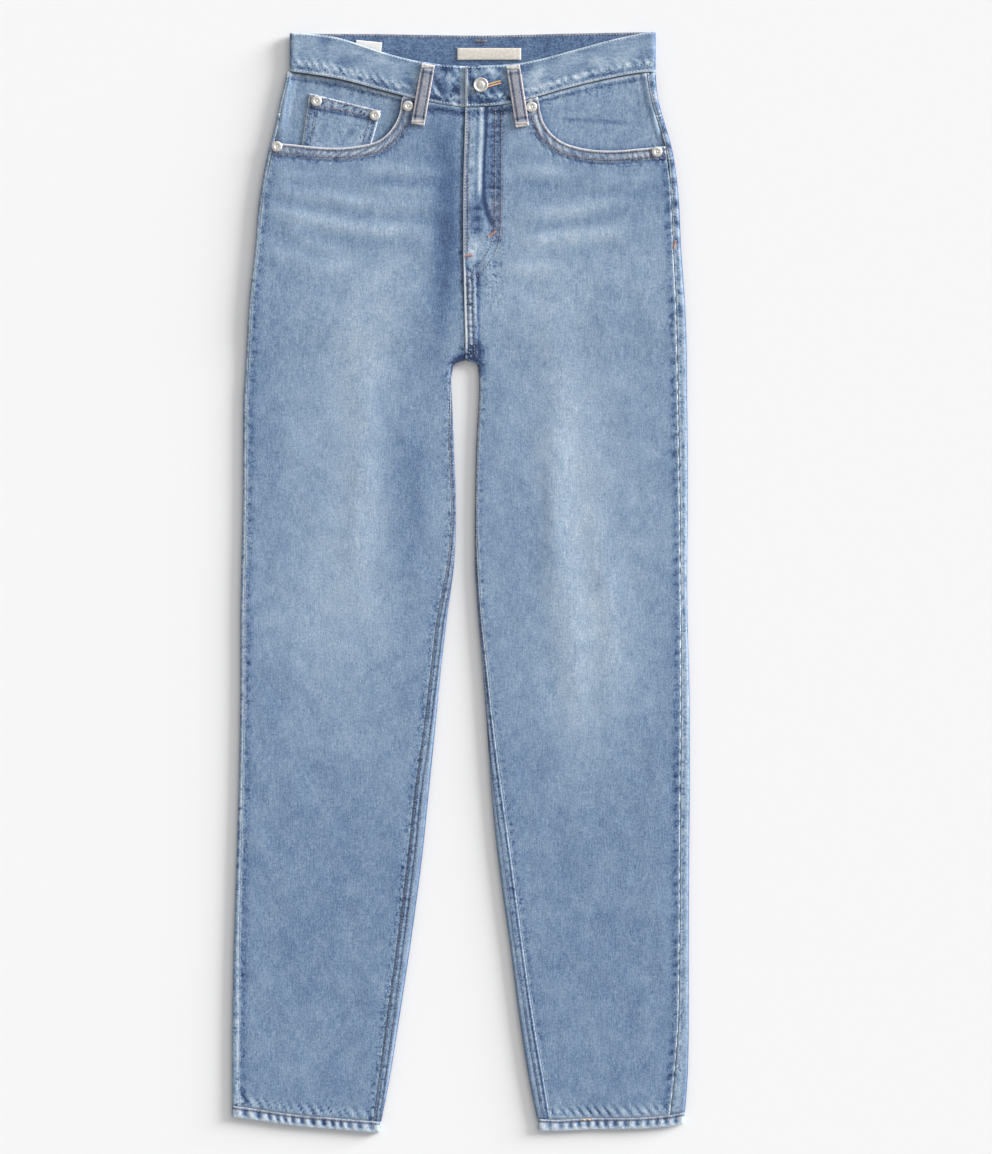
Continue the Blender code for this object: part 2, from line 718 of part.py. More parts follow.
def waistband(material):
    """One strip, doubled, from the lap end round the back to the end under the lap."""
    rings = []
    half = BAND / 2
    left_x = LEG[LEFT][0][1] - half
    right_x = LEG[RIGHT][0][1] + half
    back_level = LIFT + half
    radius = (LIFT + BAND_MIDDLE - back_level) / 2

    def front_station(side, x, wave):
        z = LIFT + band_front_level(side, x)
        rings.append(band_station(x, table_value(FRONT_BAND, 1, x), table_value(FRONT_BAND, 2, x), z,
                                  math.pi / 2, wave))

    def fold(place, turn, angles):
        for angle in angles:
            x = place + turn * radius * math.cos(angle)
            z = back_level + radius + radius * math.sin(angle)
            flip = angle if turn > 0 else math.pi - angle
            rings.append(band_station(x, table_value(BACK_BAND, 1, x), table_value(BACK_BAND, 2, x), z, flip, 0.0))

    count = round((left_x - radius - LAP_EDGE) / BAND_FRONT_STEP)
    for k in range(count + 1):
        front_station(LEFT, LAP_EDGE + (left_x - radius - LAP_EDGE) * k / count, k % 2)
    quarter = [math.pi / 2 - math.pi * k / 6 for k in range(1, 6)]
    fold(left_x - radius, 1.0, quarter)
    count = round((left_x - right_x) / BAND_BACK_STEP)
    for k in range(count + 1):
        x = left_x - radius - (left_x - right_x - 2 * radius) * k / count
        rings.append(band_station(x, table_value(BACK_BAND, 1, x), table_value(BACK_BAND, 2, x), back_level,
                                  -math.pi / 2, 0.0))
    fold(right_x + radius, -1.0, list(reversed(quarter)))
    count = round((LAP_UNDER - right_x - radius) / BAND_FRONT_STEP)
    for k in range(count + 1):
        x = right_x + radius + (LAP_UNDER - right_x - radius) * k / count
        front_station(RIGHT, x, k % 2 if x < LAP_EDGE - BAND_FRONT_STEP else 0)
    return ring_tube("waistband", rings, material, closed=False)


COIN_STACK = 2 * (DENIM + SEAM_GAP)


def facing_drop(side, x, y):
    """How far the facing's upper face lies under the front panel's upper face."""
    return COIN_STACK if side == RIGHT else DENIM + SEAM_GAP


def facing_top(side, x, y):
    return lift(y) + loft(y) - facing_drop(side, x, y)


FACING_UNDER = 14.0


def facing_lower_line(side):
    """Mouth line moved under the panel."""
    line = MOUTH[side]
    moved = []
    toward = sign(side)
    for k, (x, y) in enumerate(line):
        a, b = line[max(k - 1, 0)], line[min(k + 1, len(line) - 1)]
        dx, dy = b[0] - a[0], b[1] - a[1]
        length = math.hypot(dx, dy)
        moved.append((x - toward * abs(dy) / length * FACING_UNDER, y - abs(dx) / length * FACING_UNDER))
    first = moved[0]
    moved[0] = (edge(side, 2, first[1]) - toward * (HALF_GAP + 0.2), first[1])
    last = moved[-1]
    moved[-1] = (last[0], table_value(FRONT_BAND, 2, last[0]) - SEAM_GAP)
    return moved


def pocket_facing(side, material):
    """Denim behind the pocket mouth, from the waistband seam to under the panel."""
    toward = sign(side)
    lower = facing_lower_line(side)
    columns, rows = 9, 5
    start_x = edge(side, 2, 509.0) - toward * (HALF_GAP + 0.2)
    end_x = lower[-1][0] + toward * 4.0
    outer, inner = [], []
    for i in range(rows):
        v = i / (rows - 1)
        top_row, under_row = [], []
        for j in range(columns):
            u = j / (columns - 1)
            tx = start_x + (end_x - start_x) * u
            ty = table_value(FRONT_BAND, 2, tx) - SEAM_GAP
            bx, by = along(lower, u * 0.93)
            x = tx + (bx - tx) * v
            y = ty + (by - ty) * v
            if j == 0:
                x = edge(side, 2, y) - toward * (HALF_GAP + 0.2)
            z = facing_top(side, x, y)
            top_row.append((x, y, z))
            under_row.append((x, y, z - DENIM))
        outer.append(top_row)
        inner.append(under_row)
    return shell("pocket_facing_" + side, outer, inner, material)


# Coin pocket on the right facing, corners in order: top outer, top inner, low inner, low outer
COIN_POCKET = ((-151.6, 489.4), (-80.2, 471.6), (-92.0, 430.0), (-160.4, 430.0))
COIN_HEM = 12.0


def coin_pocket(material):
    """Small patch pocket on the right facing, its foot hidden in the pocket mouth."""
    a, b, c, d = COIN_POCKET
    outer, inner = [], []
    shares = (0.0, COIN_HEM / 56.0, (COIN_HEM + 1.5) / 56.0, 0.6, 1.0)
    for i, v in enumerate(shares):
        top_row, under_row = [], []
        for j in range(6):
            u = j / 5
            x = (a[0] + (b[0] - a[0]) * u) * (1 - v) + (d[0] + (c[0] - d[0]) * u) * v
            y = (a[1] + (b[1] - a[1]) * u) * (1 - v) + (d[1] + (c[1] - d[1]) * u) * v
            z = facing_top(RIGHT, x, y) + SEAM_GAP
            top_row.append((x, y, z + DENIM + (0.3 if i < 2 else 0.0)))
            under_row.append((x, y, z))
        outer.append(top_row)
        inner.append(under_row)
    return shell("coin_pocket", outer, inner, material)


# Back patch pockets: middle of the top edge, then half widths and depths of the patch
BACK_POCKET_PLACE = {RIGHT: (-88.0, 428.0), LEFT: (108.0, 428.0)}
BACK_POCKET_TOP = 71.0
BACK_POCKET_FOOT = 60.0
BACK_POCKET_SIDE = 118.0
BACK_POCKET_POINT = 140.0
BACK_POCKET_SLOPE = 0.10


def back_pocket(side, material):
    """Plain five-sided patch pocket under the back panel; its outer face rests."""
    middle_x, middle_y = BACK_POCKET_PLACE[side]
    toward = sign(side)
    rows = []
    for share, half in ((0.0, BACK_POCKET_TOP), (0.09, BACK_POCKET_TOP - 1.0), (1.0, BACK_POCKET_FOOT)):
        rows.append([(k / 2 * half, -share * BACK_POCKET_SIDE) for k in range(-2, 3)])
    drop = BACK_POCKET_POINT - BACK_POCKET_SIDE
    rows.append([(k / 2 * BACK_POCKET_FOOT * 0.5, -BACK_POCKET_SIDE - drop * (1 - abs(k) / 4)) for k in range(-2, 3)])
    outer, inner = [], []
    for row in rows:
        placed = []
        for x, y in row:
            px = middle_x + toward * (x + y * 0.03)
            placed.append((px, middle_y + y + BACK_POCKET_SLOPE * x))
        outer.append([(x, y, 0.0) for x, y in placed])
        inner.append([(x, y, DENIM) for x, y in placed])
    return shell("back_pocket_" + side, outer, inner, material)


# Front belt loops: top middle, foot middle
LOOP_WIDTH = 13.5
LOOP_WALL = 1.5
FRONT_LOOPS = {RIGHT: ((-32.6, 517.8), (-43.2, 457.6)), LEFT: ((52.0, 516.8), (61.4, 455.6))}
LOOP_STATIONS = (0.0, 0.1, 0.16, 0.4, 0.6, 0.72, 0.8, 0.9, 1.0)
LOOP_RIDGES = ((-1.0, 0.0), (-0.72, 0.35), (-0.3, 0.0), (0.3, 0.0), (0.72, 0.35), (1.0, 0.0))


def upper_level(side, x, y):
    """Top of whatever lies uppermost on the front at a point of the band or hips."""
    low_seam = table_value(FRONT_BAND, 2, x)
    if y > low_seam - 0.5:
        return LIFT + band_front_level(side, x) + BAND / 2 + BAND_RIDGE
    return front_top(side, x, y) + MOUTH_HEM_RAISE


def front_loop(side, material):
    """Belt loop over the waistband, sewn down at the top edge and on the panel."""
    (x0, y0), (x1, y1) = FRONT_LOOPS[side]
    length = math.hypot(x1 - x0, y1 - y0)
    along_x, along_y = (x1 - x0) / length, (y1 - y0) / length
    over_band = LIFT + BAND_MIDDLE + BAND / 2 + BAND_RIDGE + SEAM_GAP
    if side == LEFT:
        over_band += 0.12
    outer, inner = [], []
    for share in LOOP_STATIONS:
        top_row, under_row = [], []
        x = x0 + (x1 - x0) * share
        y = y0 + (y1 - y0) * share
        on_panel = smooth_steps(0.62, 0.84, share)
        level = over_band + (upper_level(side, x1, y1) + SEAM_GAP - over_band) * on_panel
        tack = 0.4 if share <= 0.1 or share >= 0.9 else 0.0
        for place, ridge in LOOP_RIDGES:
            px = x - along_y * place * LOOP_WIDTH / 2
            py = y + along_x * place * LOOP_WIDTH / 2
            top_row.append((px, py, level + LOOP_WALL + ridge + tack))
            under_row.append((px, py, level))
        outer.append(top_row)
        inner.append(under_row)
    return shell("loop_front_" + side, outer, inner, material)


BACK_LOOPS = (("loop_back_right", -88.0), ("loop_centre_back", 19.5), ("loop_back_left", 124.0))
BACK_LOOP_FOOT = 16.0
BACK_LOOP_WALL = LIFT - SEAM_GAP - 0.05


def back_loop(name, middle, material):
    """Belt loop on the underside; its outer face rests on the surface."""
    top = table_value(BACK_BAND, 1, middle) - 0.8
    foot = table_value(BACK_BAND, 2, middle) - BACK_LOOP_FOOT
    outer, inner = [], []
    for k in range(4):
        y = top + (foot - top) * k / 3
        xs = [middle + place * LOOP_WIDTH / 2 for place in (-1.0, -0.6, 0.6, 1.0)]
        rounding = (0.25, 0.0, 0.0, 0.25)
        outer.append([(x, y, low) for x, low in zip(xs, rounding)])
        inner.append([(x, y, BACK_LOOP_WALL) for x in xs])
    return shell(name, outer, inner, material)


RIVET_RADIUS = 4.9
RIVET_PROFILE = ((0.0, 0.0), (4.3, 0.0), (4.9, 0.35), (4.7, 0.9), (3.6, 1.35), (2.2, 1.25), (1.5, 0.85), (0.0, 0.95))
RIVETS = (
    ("rivet_coin_outer", RIGHT, -144.6, 481.4),
    ("rivet_coin_inner", RIGHT, -86.0, 467.2),
    ("rivet_right_inner", RIGHT, -53.0, 476.4),
    ("rivet_right_outer", RIGHT, -184.0, 435.9),
    ("rivet_left_inner", LEFT, 70.6, 475.4),
    ("rivet_left_outer", LEFT, 195.8, 430.6),
)


def rivet(name, side, x, y, material):
    level = front_top(side, x, y) + MOUTH_HEM_RAISE + SEAM_GAP
    if "coin" in name:
        level = facing_top(RIGHT, x, y) + DENIM + 2 * SEAM_GAP + 0.3
    return lathe(name, RIVET_PROFILE, (x, y, level), 12, material)


BUTTON_PLACE = (19.8, 497.0)
BUTTON_PROFILE = ((0.0, 0.0), (5.2, 0.0), (5.4, 1.0), (7.9, 1.3), (8.3, 1.9), (8.0, 2.6), (7.0, 2.9),
                  (5.6, 2.5), (3.4, 2.4), (2.4, 2.75), (0.0, 2.85))


def button(material):
    """Shank button, standing on the lap of the waistband."""
    x, y = BUTTON_PLACE
    level = LIFT + band_front_level(LEFT, x) + BAND / 2 + BAND_RIDGE + SEAM_GAP
    return lathe("button", BUTTON_PROFILE, (x, y, level), 18, material)


# Cloth labels inside the back of the waist: name, middle x, middle y, half length, half height, turn
LABELS = (
    ("label_centre", 28.0, 528.8, 32.0, 6.0, 0.0),
    ("label_side", -92.5, 536.5, 13.0, 5.2, -0.10),
)
LABEL_WALL = 0.7


def label(name, x, y, half_length, half_height, turn, material):
    level = LIFT + BAND + SEAM_GAP
    corners = []
    for i in (1.0, -1.0):
        row = []
        for j in (-1.0, 0.0, 1.0):
            dx, dy = j * half_length, i * half_height
            row.append((x + dx * math.cos(turn) - dy * math.sin(turn), y + dx * math.sin(turn) + dy * math.cos(turn)))
        corners.append(row)
    outer = [[(px, py, level + LABEL_WALL) for px, py in row] for row in corners]
    inner = [[(px, py, level) for px, py in row] for row in corners]
    return shell(name, outer, inner, material)


def main():
    for obj in list(bpy.data.objects):
        bpy.data.objects.remove(obj, do_unlink=True)
    denim = (0.26, 0.36, 0.50)
    pale = (0.30, 0.40, 0.53)
    inside = (0.20, 0.29, 0.43)
    for side in (RIGHT, LEFT):
        front_panel(side, make_material("denim_front_" + side, denim, 0.85))
        back_panel(side, make_material("denim_back_" + side, denim, 0.85))
        yoke(side, make_material("denim_yoke_" + side, denim, 0.85))
        hem(side, make_material("denim_hem_" + side, pale, 0.85))
        pocket_facing(side, make_material("denim_facing_" + side, inside, 0.85))
        back_pocket(side, make_material("denim_back_pocket_" + side, denim, 0.85))
        front_loop(side, make_material("denim_loop_" + side, denim, 0.85))
    waistband(make_material("denim_waistband", denim, 0.85))
    coin_pocket(make_material("denim_coin_pocket", denim, 0.85))
    for name, middle in BACK_LOOPS:
        back_loop(name, middle, make_material("denim_" + name, denim, 0.85))
    for name, side, x, y in RIVETS:
        rivet(name, side, x, y, make_material("metal_" + name, (0.62, 0.60, 0.57), 0.35, 1.0))
    button(make_material("metal_button", (0.62, 0.60, 0.57), 0.35, 1.0))
    for name, x, y, half_length, half_height, turn in LABELS:
        label(name, x, y, half_length, half_height, turn, make_material("cloth_" + name, (0.68, 0.62, 0.55), 0.8))


main()
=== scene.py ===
# %% [markdown]
# # Jeans, laid flat
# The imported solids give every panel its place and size. This lesson lays fine cloth on
# them: panels, hems, waistband, threads and metal, then light and camera.

# %% Load the fixed frame
import math

import bmesh
import bpy
from mathutils import Matrix, Vector, noise


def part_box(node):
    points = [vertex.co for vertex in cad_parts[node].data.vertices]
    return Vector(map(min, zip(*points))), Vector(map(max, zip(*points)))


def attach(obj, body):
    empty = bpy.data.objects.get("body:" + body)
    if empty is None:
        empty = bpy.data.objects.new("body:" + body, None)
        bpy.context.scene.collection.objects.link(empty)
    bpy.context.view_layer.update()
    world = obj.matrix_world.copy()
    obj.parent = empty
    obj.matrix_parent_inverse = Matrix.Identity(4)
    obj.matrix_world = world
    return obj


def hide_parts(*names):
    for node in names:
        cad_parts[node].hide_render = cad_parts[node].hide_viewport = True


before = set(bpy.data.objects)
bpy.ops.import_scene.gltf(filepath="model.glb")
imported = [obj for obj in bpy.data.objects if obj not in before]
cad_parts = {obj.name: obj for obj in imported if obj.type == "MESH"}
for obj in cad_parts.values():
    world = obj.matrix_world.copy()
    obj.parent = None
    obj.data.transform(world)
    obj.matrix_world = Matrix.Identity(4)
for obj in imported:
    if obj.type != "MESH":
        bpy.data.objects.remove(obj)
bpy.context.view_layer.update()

MM = 0.001
DENIM = 1.1
BAND = 2.3
GAP = 0.3
LIFT = DENIM + 0.35
RIGHT = "right"
LEFT = "left"

# %% [markdown]
# A pattern cutter works from a size chart. These short charts say, row by row, where the
# outline and the seams of each leg run. A curve through the rows fills in the rest, so a
# leg can be reshaped by changing one number. Sides are the wearer's own.

# %% Size charts, in millimetres
# height, outer edge, outseam, inseam, inner edge
OUTER, OUTSEAM, INSEAM, INNER = 1, 2, 3, 4
LEG = {
    RIGHT: (
        (551.0, -171.5, -169.0, 4.3, 4.3),
        (522.5, -173.0, -170.5, 4.3, 4.3),
        (502.5, -176.0, -173.5, 4.3, 4.3),
        (482.5, -181.0, -178.0, 4.3, 4.3),
        (462.5, -185.0, -181.5, 4.2, 4.2),
        (442.5, -190.0, -186.0, 3.6, 3.6),
        (422.5, -195.0, -191.0, 2.6, 2.6),
        (382.5, -202.0, -198.5, 2.1, 2.1),
        (332.5, -206.5, -203.5, 2.1, 2.1),
        (282.5, -212.0, -209.0, 3.0, 3.0),
        (232.5, -215.0, -212.0, 4.3, 4.3),
        (222.5, -215.6, -212.5, 4.5, 4.5),
        (219.5, -215.8, -212.7, -7.4, -6.0),
        (216.5, -216.0, -212.9, -9.4, -7.8),
        (212.5, -216.2, -213.0, -10.2, -8.6),
        (202.5, -216.8, -213.6, -11.6, -10.0),
        (182.5, -218.0, -214.4, -11.6, -9.0),
        (137.5, -218.4, -214.8, -12.4, -7.2),
        (72.5, -218.8, -215.2, -9.8, -5.0),
        (18.5, -220.0, -216.2, -14.0, -7.0),
        (-35.5, -221.0, -217.4, -24.0, -14.0),
        (-90.5, -221.0, -217.4, -31.0, -20.5),
        (-137.5, -221.4, -217.6, -36.5, -25.0),
        (-217.5, -223.0, -219.0, -47.5, -33.0),
        (-282.5, -225.0, -220.4, -54.5, -39.8),
        (-369.5, -227.8, -222.2, -65.5, -51.6),
        (-445.5, -229.2, -222.4, -75.8, -63.2),
        (-500.0, -229.4, -222.6, -83.0, -72.0),
        (-560.0, -229.4, -221.0, -91.0, -84.0),
    ),
    LEFT: (
        (551.0, 194.8, 184.5, 4.3, 4.3),
        (522.5, 194.6, 185.0, 4.3, 4.3),
        (502.5, 195.2, 186.6, 4.3, 4.3),
        (482.5, 197.6, 190.4, 4.3, 4.3),
        (462.5, 203.0, 196.4, 4.2, 4.2),
        (442.5, 209.0, 202.4, 3.6, 3.6),
        (422.5, 213.4, 207.2, 2.6, 2.6),
        (382.5, 218.0, 210.2, 2.1, 2.1),
        (332.5, 220.4, 212.2, 2.1, 2.1),
        (282.5, 224.0, 214.8, 3.0, 3.0),
        (232.5, 226.0, 216.2, 4.3, 4.3),
        (222.5, 226.1, 216.4, 4.5, 4.5),
        (219.5, 226.1, 216.5, 16.4, 15.0),
        (216.5, 226.2, 216.6, 18.2, 16.8),
        (212.5, 226.2, 216.7, 18.6, 17.2),
        (202.5, 226.3, 216.9, 19.4, 18.0),
        (182.5, 226.4, 217.2, 19.2, 17.8),
        (137.5, 227.0, 218.0, 17.2, 15.2),
        (72.5, 227.0, 219.0, 16.0, 13.8),
        (18.5, 226.4, 219.6, 17.4, 13.6),
        (-35.5, 226.8, 220.0, 21.0, 17.0),
        (-90.5, 228.4, 220.2, 27.0, 21.8),
        (-137.5, 229.0, 220.0, 32.0, 25.4),
        (-217.5, 229.0, 219.4, 42.5, 31.0),
        (-282.5, 228.4, 219.0, 51.5, 37.8),
        (-369.5, 228.0, 218.6, 63.0, 49.8),
        (-445.5, 228.0, 217.0, 74.2, 59.6),
        (-500.0, 226.6, 212.6, 83.6, 68.4),
        (-560.0, 221.4, 205.6, 93.0, 81.0),
    ),
}
# lower edge of each leg: across, height
HEM = {
    RIGHT: ((-229.0, -535.0), (-203.0, -538.5), (-169.0, -543.5), (-124.0, -547.5), (-82.0, -551.0)),
    LEFT: (
        (78.0, -548.5), (98.0, -549.0), (128.0, -547.4),
        (174.0, -547.0), (208.0, -544.5), (224.0, -541.5),
    ),
}
# pocket mouths, from the outseam to the waistband: across, height
MOUTH = {
    RIGHT: (
        (-186.5, 439.5), (-168.0, 438.0), (-152.0, 436.0), (-134.0, 434.4), (-114.0, 434.6),
        (-89.0, 438.5), (-77.0, 444.5), (-68.0, 454.5), (-61.4, 466.5), (-58.6, 487.2),
    ),
    LEFT: (
        (203.6, 436.0), (186.0, 434.4), (172.0, 433.2), (155.7, 431.5), (132.0, 432.0),
        (112.0, 436.1), (98.6, 441.2), (87.4, 451.5), (80.2, 463.5), (76.7, 486.2),
    ),
}
# waistband: across, top edge, lower seam
BAND_TOP, BAND_SEAM = 1, 2
FRONT_BAND = (
    (-175.0, 549.6, 511.6),
    (-150.0, 548.5, 508.4),
    (-121.0, 544.2, 503.4),
    (-78.0, 530.2, 492.2),
    (-39.0, 520.6, 482.4),
    (4.0, 516.4, 475.6),
    (36.0, 517.2, 477.2),
    (67.0, 520.6, 483.4),
    (106.5, 530.6, 494.6),
    (149.0, 542.2, 504.6),
    (175.0, 548.0, 509.4),
    (184.0, 549.8, 510.2),
    (196.0, 551.2, 510.6),
)
BACK_BAND = (
    (-175.0, 549.6, 511.6),
    (-80.0, 549.0, 509.0),
    (18.0, 547.6, 507.6),
    (110.0, 549.6, 509.0),
    (184.0, 551.0, 510.2),
    (196.0, 551.2, 510.6),
)
# centre back seam: height, across
CENTRE_BACK = (
    (551.0, 18.5), (510.0, 18.0), (440.0, 14.0), (330.0, 8.0), (240.0, 4.6), (222.5, 4.5), (200.0, 4.5),
)
CROTCH = 221.0
FLY_FOOT = 322.0
FLAT_ROW = 398.0
HEM_DEPTH = 11.5
HEM_SWING = -330.0
LOFT = (5.4, 6.2)
print("chart rows:", len(LEG[RIGHT]), len(LEG[LEFT]))

# %% [markdown]
# Two small readers use the charts. `smooth` eases from 0 to 1 between two places, and
# `read` runs a curve through a chart that never swings past its rows, as a cutter's
# curve ruler does.

# %% Readers of the charts


def smooth(low, high, value):
    part = min(max((value - low) / (high - low), 0.0), 1.0)
    return part * part * (3.0 - 2.0 * part)


def bell(distance, width):
    return math.exp(-(distance / width) ** 2)


ORDERED = {}


def read(rows, column, value):
    key = id(rows)
    if key not in ORDERED:
        ORDERED[key] = rows if rows[0][0] < rows[-1][0] else tuple(reversed(rows))
    rows = ORDERED[key]
    if value <= rows[0][0]:
        return rows[0][column]
    if value >= rows[-1][0]:
        return rows[-1][column]
    k = 0
    while rows[k + 1][0] < value:
        k += 1
    span = rows[k + 1][0] - rows[k][0]
    rise = rows[k + 1][column] - rows[k][column]
    if rise == 0.0:
        return rows[k][column]
    slopes = []
    for at in (k, k + 1):
        a, b = rows[max(at - 1, 0)], rows[min(at + 1, len(rows) - 1)]
        share = (b[column] - a[column]) / (b[0] - a[0]) * span / rise
        slopes.append(rise * min(max(share, 0.0), 3.0))
    s = (value - rows[k][0]) / span
    return (rows[k][column] * (1 + 2 * s) * (1 - s) ** 2 + slopes[0] * s * (1 - s) ** 2
            + rows[k + 1][column] * s * s * (3 - 2 * s) + slopes[1] * s * s * (s - 1))


def sign(side):
    return 1.0 if side == LEFT else -1.0


def loft(y):
    return LOFT[0] + (LOFT[1] - LOFT[0]) * smooth(150.0, 380.0, y)


def lift(y):
    return LIFT * smooth(212.0, 268.0, y)


def edge(side, column, y):
    return read(LEG[side], column, y)


def hem_edge(side, x):
    """Height of a leg's lower edge."""
    return read(HEM[side], 1, x)


def hem_level(side):
    """Height of the middle of a leg's lower edge."""
    return (HEM[side][0][1] + HEM[side][-1][1]) / 2


def seam_x(y):
    return read(CENTRE_BACK, 1, y)


def along(points, share):
    lengths = [0.0]
    for a, b in zip(points, points[1:]):
        lengths.append(lengths[-1] + math.dist(a, b))
    goal = share * lengths[-1]
    for k in range(len(points) - 1):
        if goal <= lengths[k + 1] or k == len(points) - 2:
            part = (goal - lengths[k]) / (lengths[k + 1] - lengths[k])
            return tuple(p + (q - p) * part for p, q in zip(points[k], points[k + 1]))


def soften(points, rounds=2):
    """Cut the corners of a drawn line, as a hand smooths a chalk line."""
    for _ in range(rounds):
        cut = [points[0]]
        for a, b in zip(points, points[1:]):
            for part in (0.25, 0.75):
                cut.append(tuple(p + (q - p) * part for p, q in zip(a, b)))
        points = cut + [points[-1]]
    return points


SOFT_MOUTH = {side: soften(list(MOUTH[side])) for side in MOUTH}
print("waist across:", edge(LEFT, OUTER, 540.0) - edge(RIGHT, OUTER, 540.0), "mm")

# %% [markdown]
# One row across a leg is a flattened tube: flat on top, flat below and rounded at both
# edges. `Row` holds the edges, the seams and the levels of one such row, so that the front
# and the back panel share it and their seams meet.

# %% A row across one leg


class Row:
    def __init__(self, side, height):
        self.side = side
        self.height = height
        self.hem_middle = hem_level(side)
        self.swing = 1.0 - smooth(self.hem_middle + HEM_DEPTH, HEM_SWING, height)
        self.above_crotch = height > CROTCH
        self.outer, self.outseam, self.inseam, self.inner = map(self.settle, (OUTER, OUTSEAM, INSEAM, INNER))
        self.base = lift(height)
        self.loft = loft(height)
        self.radius = self.loft / 2
        self.middle = (self.outer + self.inner) / 2

    def y(self, x):
        return self.height + self.swing * (hem_edge(self.side, x) - self.hem_middle)

    def settle(self, column):
        x = edge(self.side, column, self.height)
        for _ in range(4):
            x = edge(self.side, column, self.y(x))
        return x

    def top(self, x):
        drop = 0.0
        for place in (self.outer,) if self.above_crotch else (self.outer, self.inner):
            inside = abs(x - place)
            if inside < self.radius:
                drop = self.radius - math.sqrt(max(self.radius ** 2 - (self.radius - inside) ** 2, 0.0))
        return self.base + self.loft - drop


print("loft at the knee:", Row(RIGHT, -100.0).loft, "mm")

# %% [markdown]
# Washing shrinks the seam threads, so the cloth beside a seam bunches up in puckers. They
# are never even. `rhythm` is a wave with a pitch that wanders and a strength that comes
# and goes, made from smooth noise, so it gives the same puckers on each run.

# %% Puckers and soft waves


def drift(a, b, seed):
    return noise.noise(Vector((a, b, seed)))


def rhythm(s, pitch, seed):
    phase = s / pitch + 0.9 * drift(s / 43.0, 0.0, seed)
    wave = 0.5 + 0.5 * math.cos(math.tau * phase)
    strength = min(max(0.75 + 1.1 * drift(s / 57.0, 3.0, seed + 9.0), 0.1), 1.25)
    return wave ** 3 * strength


# side, from x, from y, to x, to y, bow, height, half width, fade
CREASES = (
    (RIGHT, -89.0, 412.0, -23.0, 410.0, 1.0, 0.5, 5.5, 0.34),
    (RIGHT, -83.0, 392.0, -30.0, 392.0, -1.0, 0.5, 5.0, 0.26),
    (RIGHT, -182.0, 394.0, -30.0, 376.5, -5.0, 0.7, 6.0, 0.30),
    (RIGHT, -187.0, 372.5, -52.0, 353.0, -6.0, 0.8, 6.5, 0.38),
    (RIGHT, -170.0, 354.5, -128.0, 332.5, -2.0, 0.5, 6.5, 0.20),
    (RIGHT, -190.0, 330.0, -110.0, 312.0, -3.0, 0.4, 8.0, 0.15),
    (RIGHT, -196.0, 414.0, -150.0, 406.0, -2.0, 0.4, 6.0, 0.16),
    (LEFT, 60.0, 412.0, 103.0, 408.0, 1.0, 0.5, 5.5, 0.30),
    (LEFT, 69.0, 368.0, 152.0, 381.0, -2.0, 0.7, 6.5, 0.34),
    (LEFT, 68.0, 342.0, 159.0, 352.0, -2.0, 0.7, 6.5, 0.34),
    (LEFT, 45.0, 315.5, 91.0, 316.5, -1.0, 0.5, 6.5, 0.20),
    (LEFT, 130.0, 398.0, 190.0, 402.0, 2.0, 0.4, 6.0, 0.12),
    (RIGHT, -99.0, 230.0, -106.0, 10.0, 4.0, 0.8, 15.0, 0.05),
    (LEFT, 96.0, 200.0, 116.0, -110.0, -5.0, 0.9, 14.0, 0.06),
    (LEFT, 138.0, 60.0, 150.0, -140.0, 4.0, 0.7, 13.0, 0.05),
    (LEFT, 86.0, 120.0, 92.0, -40.0, 3.0, 0.5, 9.0, 0.06),
)


def creases(side, x, y):
    height, light = 0.0, 0.0
    for owner, x0, y0, x1, y1, bow, rise, half, fade in CREASES:
        if owner != side:
            continue
        length = math.hypot(x1 - x0, y1 - y0)
        s = ((x - x0) * (x1 - x0) + (y - y0) * (y1 - y0)) / length ** 2
        if not -0.3 < s < 1.3:
            continue
        across = ((x - x0) * (y1 - y0) - (y - y0) * (x1 - x0)) / length
        across += bow * math.sin(math.pi * min(max(s, 0.0), 1.0)) + 2.5 * drift(x / 30.0, y / 30.0, 5.0)
        ends = smooth(-0.28, 0.18, s) * (1.0 - smooth(0.8, 1.28, s))
        height += rise * ends * bell(across, half)
        light += fade * ends * (0.92 * bell(across, 1.3 * half) - 0.45 * bell(across - 2.2 * half, half))
    return height, light


print("creases:", len(CREASES))
